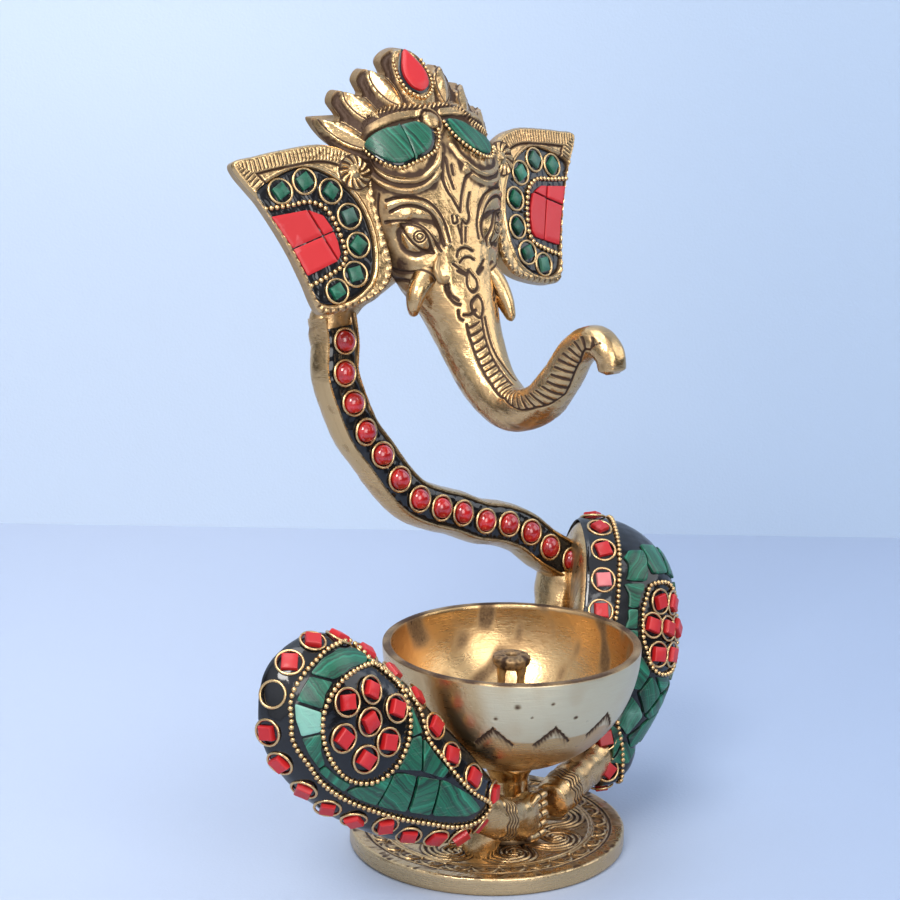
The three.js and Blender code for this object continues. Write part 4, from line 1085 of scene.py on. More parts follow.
# Stations of the tusks: x, y, z, half-width and half-depth
TUSKS = [[[-8.5, 21, 181, 3.8, 3.6], [-11, 19.4, 179.3, 4, 3.8], [-14.4, 18, 176.6, 3.8, 3.5],
          [-17.4, 17, 173.4, 3.2, 3], [-18.6, 16.8, 170, 2.4, 2.2], [-17.6, 18, 166.5, 1.2, 1.2]],
         [[7, 20, 182, 3.6, 3.4], [9, 17, 178.5, 3.6, 3.4], [11, 14.5, 175, 3.5, 3.2],
          [12, 10.5, 169, 2.9, 2.6], [12.4, 7.5, 163.2, 1.3, 1.2]]]
TUSK_CURL = [[-6.5, 22, 184], [-9.5, 16.5, 183.6], [-12.5, 13.6, 180.6], [-11.4, 12.6, 177.4],
             [-8.4, 12.4, 178.2]]
BROW_SPLIT = (-33, 15)
BROW_STONES = {
    "right": [(-85, 13.5), (-54, 10.4), (-36, 10.2), (-18, 9.8), (-10, 12.1), (-12, 15.2), (-18, 17.7),
              (-32, 19.3), (-46, 20.2), (-60, 18.7), (-74, 16)],
    "left": [(12, 9.8), (24, 10.4), (34, 13.1), (51, 17.5), (44, 19.7), (30, 19.3), (18, 16.9), (12, 13.7)],
}


def face_relief(skin, far, angle):
    """The face's relief: chased lines, bulging eyes under raised lids, raised brows and
    rims, a rope and a smooth band at the crown's foot, and the trunk's cross ribs."""
    places = np.stack([angle * skin.girth(far), far], -1)
    depth, width = size("groove"), size("groove_width")
    mirrored = [[(-a, s) for a, s in line] for line in SIDE_LINES]
    closest = np.full(far.shape, 2.0)
    for line in SIDE_LINES + mirrored + MIDDLE_LINES:
        closest = np.minimum(closest, off_line(places, smooth_line(skin.flat(line), 40), 2.0))
    cut = hill(closest, width)
    relief = -depth * cut
    for sign in (1, -1):
        eye = places - skin.flat((EYE[0] * sign, EYE[1]))
        relief += 1.0 * hill(np.hypot(eye[..., 0] / 1.25, eye[..., 1]), 3.1) - 0.9 * hill(
            np.hypot(eye[..., 0] / 1.3, eye[..., 1]) - 5.6, 1.5)
        iris = np.hypot(eye[..., 0], eye[..., 1])
        ring = np.maximum(hill(iris - 1.9, 0.3), hill(iris - 0.95, 0.24))
        relief -= 0.4 * ring
        cut = np.maximum(cut, ring)
        for first, second, height in ((0, 1, 0.55), (2, 3, 0.45)):
            middle = (smooth_line(skin.flat([(a * sign, s) for a, s in SIDE_LINES[first]]), 40)
                      + smooth_line(skin.flat([(a * sign, s) for a, s in SIDE_LINES[second]]), 40)) / 2
            relief += height * hill(off_line(places, middle, 3.0), 1.0)
        for line in BROW_RIMS:
            ridge = smooth_line(skin.flat([(a * sign, s) for a, s in line]), 40)
            relief += 0.95 * hill(off_line(places, ridge, 3.0), 0.72)
        band = smooth_line(skin.flat([(a * sign, s) for a, s in BAND]), 50)
        off = off_line(places, band, 3.0)
        relief += 1.15 * ramp(1.7, 0.9, off)
        cut = np.maximum(cut, 0.8 * hill(off - 1.75, 0.3))
    off, arc = along_line(places, smooth_line(skin.flat(ROPE), 50), 3.0)
    twist = np.cos(2 * np.pi * (arc + 0.6 * (places[..., 1] - 4)) / 1.55)
    relief += 1.25 * hill(off, 0.95) * (0.62 + 0.38 * twist)
    cut = np.maximum(cut, hill(off, 1.1) * ramp(0.1, -0.9, twist) * 0.8)
    middle = places - skin.flat(ORNAMENT)
    oval = np.hypot(middle[..., 0] / 3.5, middle[..., 1] / 4.1)
    relief += 2.2 * np.sqrt(np.clip(1 - (oval / 0.76) ** 2, 0, 1)) + 0.8 * hill((oval - 1.0) * 3.8, 0.55)
    cut = np.maximum(cut * ramp(0.7, 0.85, oval), hill((oval - 0.84) * 3.8, 0.35))
    edge, stop = skin.flat(RIB_EDGE), skin.flat(RIB_STOP)
    low = np.interp(far, edge[:, 1], edge[:, 0], left=99, right=99)
    high = np.interp(far, stop[:, 1], stop[:, 0], left=-99, right=-99)
    inside = ramp(low - 0.2, low + 0.5, places[..., 0]) * ramp(high + 0.2, high - 0.5, places[..., 0])
    share = np.clip((places[..., 0] - low) / np.maximum(high - low, 1), 0, 1)
    rib = (far + 1.6 * share ** 2) / RIB_PITCH
    notch = hill((rib % 1.0 - 0.5) * RIB_PITCH, 0.5) * inside
    relief += inside * 0.4 * (0.4 - notch)
    border = np.maximum(hill(places[..., 0] - low, 0.4), 0) * (far > 72.5)
    cut = np.maximum(cut, np.maximum(notch, border) * 0.62)
    relief -= 0.4 * border
    return relief, cut


class LAMP_OT_head(bpy.types.Operator):
    """Make the head with its face, the trunk and the tusks"""

    bl_idname = "lamp.head"
    bl_label = "Head, trunk and tusks"

    def execute(self, context):
        skin = HeadSkin()
        angle = np.concatenate([np.linspace(-1.9, 1.9, 330, endpoint=False),
                                np.linspace(1.9, 2 * np.pi - 1.9, 70, endpoint=False)])
        self.skin_piece(skin, np.concatenate([[0.0, 1.0], np.linspace(1.6, FACE_END, 226)]), angle, "face")
        angle = np.linspace(-np.pi, np.pi, 230, endpoint=False)
        self.skin_piece(skin, np.linspace(FACE_END - 1.2, TRUNK_END, 400), angle, "trunk")
        self.tusks()
        return {"FINISHED"}

    def skin_piece(self, skin, far, angle, name):
        """A run of the head's skin with its relief. Its patina value also carries painted shade:
        darker on the face's sides towards the ears and on skin that turns downward.
        """
        far, angle = np.broadcast_arrays(far[:, None], angle[None])
        plain = skin.at(far, angle)
        wrapped = (angle + np.pi) % (2 * np.pi) - np.pi
        relief, cut = face_relief(skin, far, wrapped)
        relief = relief + 0.10 * waves(plain, 8.0, 41) + 0.03 * waves(plain, 2.5, 42)
        relief = relief - 0.3 * ramp(FACE_END - 0.2, FACE_END - 1.2, far) * (name == "trunk")
        grid = plain + skin.up(far, angle) * relief[..., None]
        end = np.sqrt(np.clip(1 - ramp(160.0, 161.5, far) * 0.75, 0.05, 1))
        centre = grid.mean(1, keepdims=True)
        grid = centre + (grid - centre) * end[..., None]
        patina = np.clip(cut + hollows(relief, 8, 0.3) * 0.95, 0, 1)
        # Painted shade: the face's sides towards the ears are darkened in the patina value. The cloudy term
        # is patina, and the skin is also darker near its top, by the crown's foot.
        sides = ramp(0.85, 1.5, np.abs(wrapped)) * ramp(60, 50, far)
        patina += 0.45 * sides + 0.22 * ramp(0.1, 0.8, waves(plain, 14.0, 45)) + 0.2 * ramp(30, 20, far)
        # Painted shade: skin that turns downward is darkened
        under = ramp(0.2, -0.9, skin.up(far, angle)[..., 2]) * 0.18
        Form().sheet(grid, patina=np.clip(patina + under, 0, 1)).piece(
            name, "cast_brass", "brass_cast", ["head"], sharp=1.0)

    def tusks(self):
        """The tusks: smooth curved horns, the near one with a leafy curl at its root."""
        form = Form()
        for stations in TUSKS:
            grid = limb(stations, 90, 48, side=(0, 1, 0), wave=0.6, seed=43)
            t = np.linspace(0, 1, 90)[:, None]
            ring = hill((t - 0.26) * 22, 0.8) + hill((t - 0.34) * 22, 0.5)
            form.sheet(grid, patina=np.clip(ring * 0.8 + 0.7 * ramp(0.12, 0.0, t), 0, 1))
        curl = smooth_line(TUSK_CURL, 60)
        form.sheet(tube(curl, (0, 1, 0), 0.9 * round_ends(60), 1.2 * round_ends(60), 20), patina=0.3)
        form.piece("tusks", "cast_brass", "brass_cast", ["head"])


CROWN_HALF = [[27, 213.5], [30.6, 217.2], [31.7, 223.2], [28.4, 222.4], [25.4, 223.4], [25.9, 227.6],
              [23.2, 231], [19.8, 229.8], [17.4, 229.9], [17.2, 234], [13.9, 237], [10.6, 235.8],
              [8.3, 235.4], [7.9, 239], [5.2, 241.3], [0, 242.6]]
CROWN_MIDDLE = (0.0, 210.0)
CROWN_INNER = (20.0, 10.0)
CROWN_THICK = 5.5
ROPE_PITCH = 1.5
CROWN_LOWER = [[-27.0, 213.5], [-19, 211], [0, 210.5], [19, 211]]
LEAVES = [[(0, 228), (0, 243), 6.5], [(9.5, 228.5), (13.7, 236.6), 3.6], [(17.5, 223.5), (23, 230.6), 3.6],
          [(23.5, 216.5), (31.4, 222.8), 3.4]]
DROP_MIDDLE = np.array([0, 11])
DROP_WIRE = [[-5.4, 15], [-6.1, 10], [-4.8, 4.8], [0, 1.8], [4.8, 4.8], [6.1, 10], [5.4, 15]]
DROP = [[0, 4], [3, 5.6], [4.2, 9], [3.8, 12], [2.1, 15.6], [0, 18.6], [-2.1, 15.6], [-3.8, 12],
        [-4.2, 9], [-3, 5.6]]


def leaf_plane(places):
    """Points and normals on the middle leaf's leaning plane, from across and up places."""
    lean = CROWN_FRONT[1]
    up, out = unit(np.array([0, lean, 1.0])), unit(np.array([0, -1.0, lean]))
    foot = np.array([0, crown_front(0, CROWN_FRONT[2]), CROWN_FRONT[2]])
    points = foot + places[..., :1] * np.array([1.0, 0, 0]) + places[..., 1:] * up
    return points, np.broadcast_to(out, points.shape)


class LAMP_OT_crown(bpy.types.Operator):
    """Make the crown of leaves with its red drop"""

    bl_idname = "lamp.crown"
    bl_label = "Crown"

    def execute(self, context):
        self.leaves()
        self.drop()
        return {"FINISHED"}

    def leaves(self):
        """The crown's plate: an outline of leaf tips, and on its dark ground raised leaves,
        each with a lens in it, inside a rope along the plate's edge."""
        half = np.array(CROWN_HALF, float)
        line = np.vstack([half, half[-2::-1] * [-1, 1], CROWN_LOWER[1:]])
        edge = smooth_line(line, 460, closed=True)
        turn = np.arctan2(edge[:, 1] - CROWN_MIDDLE[1], edge[:, 0] - CROWN_MIDDLE[0])
        inner = np.stack([CROWN_MIDDLE[0] + CROWN_INNER[0] * 0.8 * np.cos(turn),
                          CROWN_MIDDLE[1] + CROWN_INNER[1] * 0.5 * np.sin(turn)], -1)
        share = np.concatenate([np.linspace(0, 0.3, 6), np.linspace(0.33, 1, 70)])[:, None, None]
        flat = inner + (edge - inner) * share
        inside, arc = along_line(flat, np.vstack([edge, edge[:1]]), 6.0)
        twist = np.cos(2 * np.pi * arc / ROPE_PITCH)
        relief = 0.7 * hill(inside - 1.0, 0.62) * (0.75 + 0.25 * twist)
        cut = 0.9 * hill(inside - 2.1, 0.4) + hill(inside - 1.0, 0.7) * ramp(0.0, -0.9, twist)
        leaf, ground = np.zeros(inside.shape), np.ones(inside.shape)
        for foot, tip, wide in LEAVES:
            for sign in (1, -1):
                low, high = np.array(foot) * [sign, 1], np.array(tip) * [sign, 1]
                way = high - low
                long = np.linalg.norm(way)
                along = ((flat - low) @ way) / long ** 2
                across = np.abs((flat - low) @ np.array([-way[1], way[0]])) / long
                bulge = np.clip(1 - (np.clip(along, -0.3, 1.3) * 1.55 - 0.6) ** 2, 0, 1)
                gap = wide * bulge ** 0.6 - across
                body = ramp(-0.1, 0.5, gap)
                lens = np.clip((gap - 1.0) / (wide * 0.62), 0, 1) if foot[0] else 0.0
                leaf = np.maximum(leaf, 1.15 * body + 1.25 * lens)
                cut = np.maximum(cut * (1 - body), hill(gap - 0.95, 0.3) * (foot[0] != 0))
                ground = np.minimum(ground, 1 - body)
        relief = relief * 0.6 + leaf - 0.8
        cut = np.clip(cut + 0.75 * ground, 0, 1)
        edge_drop = 0.9 * ramp(0.5, 0.0, inside)
        front = np.stack([flat[..., 0], crown_front(flat[..., 0], flat[..., 1]), flat[..., 1]], -1)
        out = unit(np.array([0, -1.0, CROWN_FRONT[1]]))
        relief = relief + 0.08 * waves(front, 3.5, 51)
        grid = front + out * (relief - edge_drop)[..., None]
        sides = [front[-1] + [0, back, 0] for back in (1.6, 2.6, 3.6, 4.6, CROWN_THICK - 0.7)]
        rim = front[-1] + [0, CROWN_THICK, 0]
        middle = rim.mean(0)
        back = [rim + (middle - rim) * inset for inset in (0.02, 0.06, 0.3, 0.6, 0.9)]
        grid = np.concatenate([grid, np.array(sides), np.array(back)])
        patina = np.clip(cut, 0, 1) * 0.95
        rest = np.full((len(sides) + len(back), patina.shape[1]), 0.42)
        Form().sheet(grid, patina=np.concatenate([patina, rest])).piece(
            "crown_leaves", "cast_brass", "brass_cast", ["head"], sharp=0.8)

    def drop(self):
        """The red drop: cut with a facet round its edge, set in black lac with beads below."""
        drop = smooth_line(DROP, 80, closed=True)
        bed = (drop - DROP_MIDDLE) * [1.26, 1.1] + DROP_MIDDLE
        grid, tips = slab(bed, leaf_plane, -0.6, 0.85, 0.5)
        Form().sheet(grid, tips=tips).piece("crown_lac", "lac", "lac_black")
        grid, tips = slab(drop, leaf_plane, 0.2, 2.4, 1.1, rows=4)
        Form().sheet(grid, tips=tips, tone=0.3, pale=0.0).piece(
            "crown_drop", "red_stone", "stone_red", ["crown_stone"])
        points, ups = leaf_plane(smooth_line(DROP_WIRE, 80))
        beads(Form(), points + ups * 0.35, ups, radius=0.6, pitch=1.35).piece(
            "crown_beads", "brass_wire", "brass_cast", ["crown_wire"])


class LAMP_OT_brows(bpy.types.Operator):
    """Make the eye-shaped green stones over the brows with their beaded wires"""

    bl_idname = "lamp.brows"
    bl_label = "Brow stones"

    def execute(self, context):
        skin = HeadSkin()
        for side, outline in BROW_STONES.items():
            line = smooth_line(skin.flat(outline), 100, closed=True)
            middle = line.mean(0)
            bed = middle + (line - middle) * 1.13
            grid, tips = slab(bed, skin.lay, -0.5, 0.75, 0.4)
            Form().sheet(grid, tips=tips).piece(f"{side}_brow_lac", "lac", "lac_black")
            form = Form()
            parts = [line]
            if side == "right":
                split = skin.flat(BROW_SPLIT)[0]
                parts = [np.column_stack([np.minimum(line[:, 0], split - 0.15), line[:, 1]]),
                         np.column_stack([np.maximum(line[:, 0], split + 0.15), line[:, 1]])]
            for part, low in zip(parts, (0.0, 7.0)):
                grid, tips = slab(part, skin.lay, 0.0, 1.75, 0.5)
                form.sheet(grid, tips=tips, band=(grid[..., 0] * 0.9 + grid[..., 2] * 0.5 + low), worn=0.08)
            form.piece(f"{side}_brow_green", "malachite", "malachite_green", [f"{side}_brow_stone"])
            low = line[line[:, 1] > np.interp(line[:, 0], [line[:, 0].min(), line[:, 0].max()],
                                              [line[line[:, 0].argmin(), 1], line[line[:, 0].argmax(), 1]])]
            low = low[np.argsort(low[:, 0])]
            low = spread(middle + (low - middle) * 1.2, 60)
            points, ups = skin.lay(low)
            beads(Form(), points + ups * 0.9, ups, radius=0.62, pitch=1.4).piece(
                f"{side}_brow_beads", "brass_wire", "brass_cast", [f"{side}_brow_wire"])
        return {"FINISHED"}


EAR_SWEEP = math.radians(9.8)
EAR_TILT = math.radians(17)
EAR_FRONT = 22.2
EAR_MIDDLE = 190.0
EAR_THICK = 4.5
EAR_POCKET = 1.6
LAC_DEPTH = 0.4
EAR_OUTLINE = [[69.2, 214], [61.5, 216], [53.4, 217.3], [40.2, 218.4], [32.3, 216.3], [25.3, 211.4],
               [24, 200.9], [22.3, 188.9], [21.5, 180], [25, 174.1], [36, 169.6], [44.5, 168.3],
               [47.3, 169.2], [50.9, 178.9], [54.4, 188], [61.5, 201.6]]
EAR_FIELD = [[62.8, 205.4], [55.5, 209.8], [46.7, 212.2], [38, 209.2], [31, 202.5], [27.6, 195],
             [26.6, 186.5], [28.6, 177.5], [34.5, 172.5], [42, 170.6], [47.2, 172.0], [50.4, 179.8],
             [53.9, 188.3], [61, 201.4]]
EAR_RINGS = [[54.9, 205.3], [46.7, 207.8], [38.6, 204.4], [33.5, 196.6], [31.8, 187.9], [34, 179.4],
             [40.7, 174.8]]
EAR_BEADS = [[60.4, 200.4], [52.6, 200.9], [46, 201.6], [41.3, 199.5], [38.7, 195.2], [37.1, 189.7],
             [36.5, 185.2], [37.9, 182.3], [42.6, 179.7], [49, 177]]
EAR_PATCH = [[59.0, 198.0], [47, 199.3], [42.2, 197.3], [39.9, 193.5], [38.6, 189.5], [38.2, 185.6],
             [39.3, 183.7], [49.8, 180], [53.4, 188.3]]
PATCH_CUTS = {"right": [[[52.4, 188.5], [36.4, 193.4]], [[47.5, 200], [38.2, 181.6]]],
              "left": [[[51.5, 202.9], [44.6, 186.4]], [[40.1, 199], [55.9, 192]]]}
VOLUTE = (30.0, 209.5)
EAR_CENTRE = np.array([40.0, 191.0])
EAR_CHIP = (4.1, 1.15)
FLUTE_PITCH = 1.3


def ear_lay(sign):
    """Lays places across and up on an ear's front plane, which leans and sweeps back."""
    def lay(places, lift=0.0):
        x, z = places[..., 0] * sign, places[..., 1] - EAR_MIDDLE
        y = -np.broadcast_to(lift, x.shape)
        cos, sin = math.cos(EAR_TILT), math.sin(EAR_TILT)
        y, z = y * cos + z * sin, z * cos - y * sin
        turn = sign * EAR_SWEEP
        x, y = x * math.cos(turn) - y * math.sin(turn), x * math.sin(turn) + y * math.cos(turn)
        return np.stack([x, y + EAR_FRONT, z + EAR_MIDDLE], -1)

    out = unit(lay(np.zeros(2), 1.0) - lay(np.zeros(2)))
    return lay, lambda places: (lay(places), np.broadcast_to(out, (*places.shape[:-1], 3))), out


def split_outline(outline, cuts, gap=0.3):
    """The pieces that straight cuts divide an outline into, each drawn in by half the gap."""
    parts = [spread(np.asarray(outline, float), 160, closed=True)]
    for a, b in cuts:
        a, b = np.asarray(a, float), np.asarray(b, float)
        across = unit(np.array([-(b - a)[1], (b - a)[0]]))
        halves = []
        for part in parts:
            for sign in (1, -1):
                keep = (part - a) @ across * sign > gap / 2
                if keep.sum() > 6:
                    start = np.flatnonzero(keep & ~np.roll(keep, 1))[0]
                    halves.append(spread(np.roll(part, -start, 0)[np.roll(keep, -start)], 160, closed=True))
        parts = halves
    return parts


class LAMP_OT_ears(bpy.types.Operator):
    """Make the ears: brass plates with fluted rims and a field of stones in lac"""

    bl_idname = "lamp.ears"
    bl_label = "Ears"

    def execute(self, context):
        for side, sign in (("right", -1), ("left", 1)):
            self.plate(side, sign)
            self.field(side, sign)
        return {"FINISHED"}

    def plate(self, side, sign):
        """The ear's plate: a raised rim round a sunk field, flutes along its upper rim that
        end in a scroll by the head, and notches along its lower rim."""
        lay, _, out = ear_lay(sign)
        edge = smooth_line(EAR_OUTLINE, 700, closed=True)
        share = np.concatenate([np.linspace(0, 0.55, 12), np.linspace(0.57, 1, 72)])[:, None, None]
        flat = EAR_CENTRE + (edge - EAR_CENTRE) * share
        inside, arc = along_line(flat, np.vstack([edge, edge[:1]]), 7.0)
        field = smooth_line(EAR_FIELD, 260, closed=True)
        pocket = ramp(0.0, 0.45, depth_inside(flat, field, 3.0))
        off_field = off_line(flat, np.vstack([field, field[:1]]), 4.0)
        top = ramp(203, 208, flat[..., 1])
        flutes = np.cos(2 * np.pi * arc / FLUTE_PITCH)
        reach = ramp(0.7, 1.6, inside) * ramp(4.9, 4.2, inside)
        band = 0.3 * ramp(0.0, 0.8, inside) * ramp(5.2, 4.6, inside)
        relief = top * (band - reach * 0.3 * ramp(-0.2, -0.9, flutes))
        cut = top * reach * ramp(-0.1, -0.95, flutes) * 0.8
        groove = hill(inside - 5.2, 0.42) * top
        relief -= 0.45 * groove
        cut = np.maximum(cut, groove)
        low_rim = (1 - top) * hill(inside - 0.9, 0.8)
        notches = np.cos(2 * np.pi * arc / 2.6)
        relief += low_rim * (0.28 + 0.18 * notches)
        cut = np.maximum(cut, low_rim * ramp(-0.2, -0.95, notches) * 0.7)
        ridge = hill(off_field - 0.55, 0.5) * (1 - pocket)
        relief += 0.4 * ridge
        away = flat - VOLUTE
        r, turn = np.hypot(away[..., 0], away[..., 1]), np.arctan2(away[..., 1], away[..., 0])
        scroll = ramp(5.9, 5.2, r) * (1 - pocket)
        rays = np.cos(12 * turn + 1.4 * r)
        volute = 0.5 + 0.34 * rays * ramp(1.9, 2.6, r) + 0.7 * hill(r, 1.5)
        relief = relief * (1 - scroll) + scroll * volute
        swirl = np.maximum(ramp(0.0, -0.9, rays) * ramp(1.9, 2.8, r), hill(r - 5.4, 0.4))
        cut = cut * (1 - scroll) + scroll * swirl
        rounding = 0.7 * ramp(0.8, 0.0, inside) ** 2
        lift = relief - rounding - EAR_POCKET * pocket
        grid = lay(flat, lift)
        grid = grid + out * (0.07 * waves(grid, 4.0, 61) * (1 - pocket))[..., None]
        sides = [lay(edge, -depth) for depth in (1.1, 2.2, 3.3, EAR_THICK - 0.6)]
        back = [lay(EAR_CENTRE + (edge - EAR_CENTRE) * inset, -EAR_THICK)
                for inset in (0.985, 0.9, 0.6, 0.3, 0.06)]
        grid = np.concatenate([grid, sides, back])
        rest = np.full((len(sides) + len(back), grid.shape[1]), 0.3)
        patina = np.concatenate([np.clip(np.maximum(cut, pocket), 0, 1), rest])
        Form().sheet(grid, patina=patina).piece(
            f"{side}_ear_plate", "cast_brass", "brass_cast", [f"{side}_ear"], sharp=0.9)

    def field(self, side, sign):
        """What lies in the ear's field: lac, rings with green stones, beads, a red patch."""
        lay, on_plate, out = ear_lay(sign)
        rng = np.random.default_rng(70 + sign)
        floor = -EAR_POCKET + LAC_DEPTH

        def on_bed(places):
            points, ups = on_plate(places)
            return points + out * floor, ups

        line = smooth_line(EAR_FIELD, 120, closed=True)
        middle = line.mean(0)
        line = middle + (line - middle) * 0.985
        grid, tips = slab(line, on_bed, -0.3, 0.55, 0.5, rows=26, count=220)
        lump = waves(grid, 3.6, 63 + sign) * 0.14
        grid = grid + out * (lump * (np.arange(len(grid)) > 2)[:, None])[..., None]
        Form().sheet(grid, tips=tips).piece(
            f"{side}_ear_bed", "lac", "lac_black", [f"{side}_ear_lac"], sharp=1.0)
        rings = np.asarray(EAR_RINGS, float)
        points, ups = on_bed(rings)
        ups = ups + rng.normal(0, 0.04, ups.shape)
        Form().scatter(hoop(size("ring") * 0.98, size("ring_wire"), 48, 10), points + out * 0.45, ups,
                       scale=rng.uniform(0.96, 1.03, (len(rings), 3))).piece(
            f"{side}_ear_rings", "brass_wire", "brass_cast", [f"{side}_ear_settings"])
        guide = np.tile(lay(np.array([1.0, 0])) - lay(np.zeros(2)), (len(rings), 1))
        turns = rng.uniform(-0.5, 0.5, len(rings)) + 0.5
        Form().scatter(chip_form(*EAR_CHIP), points + out * 0.5, ups, guide, turns,
                       scale=rng.uniform(0.92, 1.06, (len(rings), 3)), band=rng.uniform(0, 40, len(rings)),
                       worn=rng.uniform(0.0, 0.25, len(rings))).piece(
            f"{side}_ear_chips", "malachite", "malachite_green")
        for number, part in enumerate(split_outline(EAR_PATCH, PATCH_CUTS[side]), 1):
            grid, tips = slab(part, on_bed, 0.3, 1.35, 0.25, rows=4)
            stands_for = [f"{side}_ear_red_patch"] if number == 1 else ()
            Form().sheet(grid, tips=tips, tone=rng.uniform(0, 0.8), pale=0.0).piece(
                f"{side}_ear_red_{number}", "red_stone", "stone_red", stands_for)
        points, ups = on_bed(smooth_line(EAR_BEADS, 120))
        beads(Form(), points + ups * 0.5, ups).piece(
            f"{side}_ear_beads", "brass_wire", "brass_cast", [f"{side}_ear_wire"])


# The crest line of a knee: where it starts and ends along it, and where it lies across
DOME_CREST = (-42.0, 3.0)
DOME_MIDDLE = 4.0
# Length of crest that counts as one radian of the way round it
KEY_RUN = 20.0
RIM_RINGS = 20
RIM_INSET = 4.6
WIRE_INSET = 9.6
KEY_TURN = 2 * np.pi + 2 * (DOME_CREST[1] - DOME_CREST[0]) / KEY_RUN
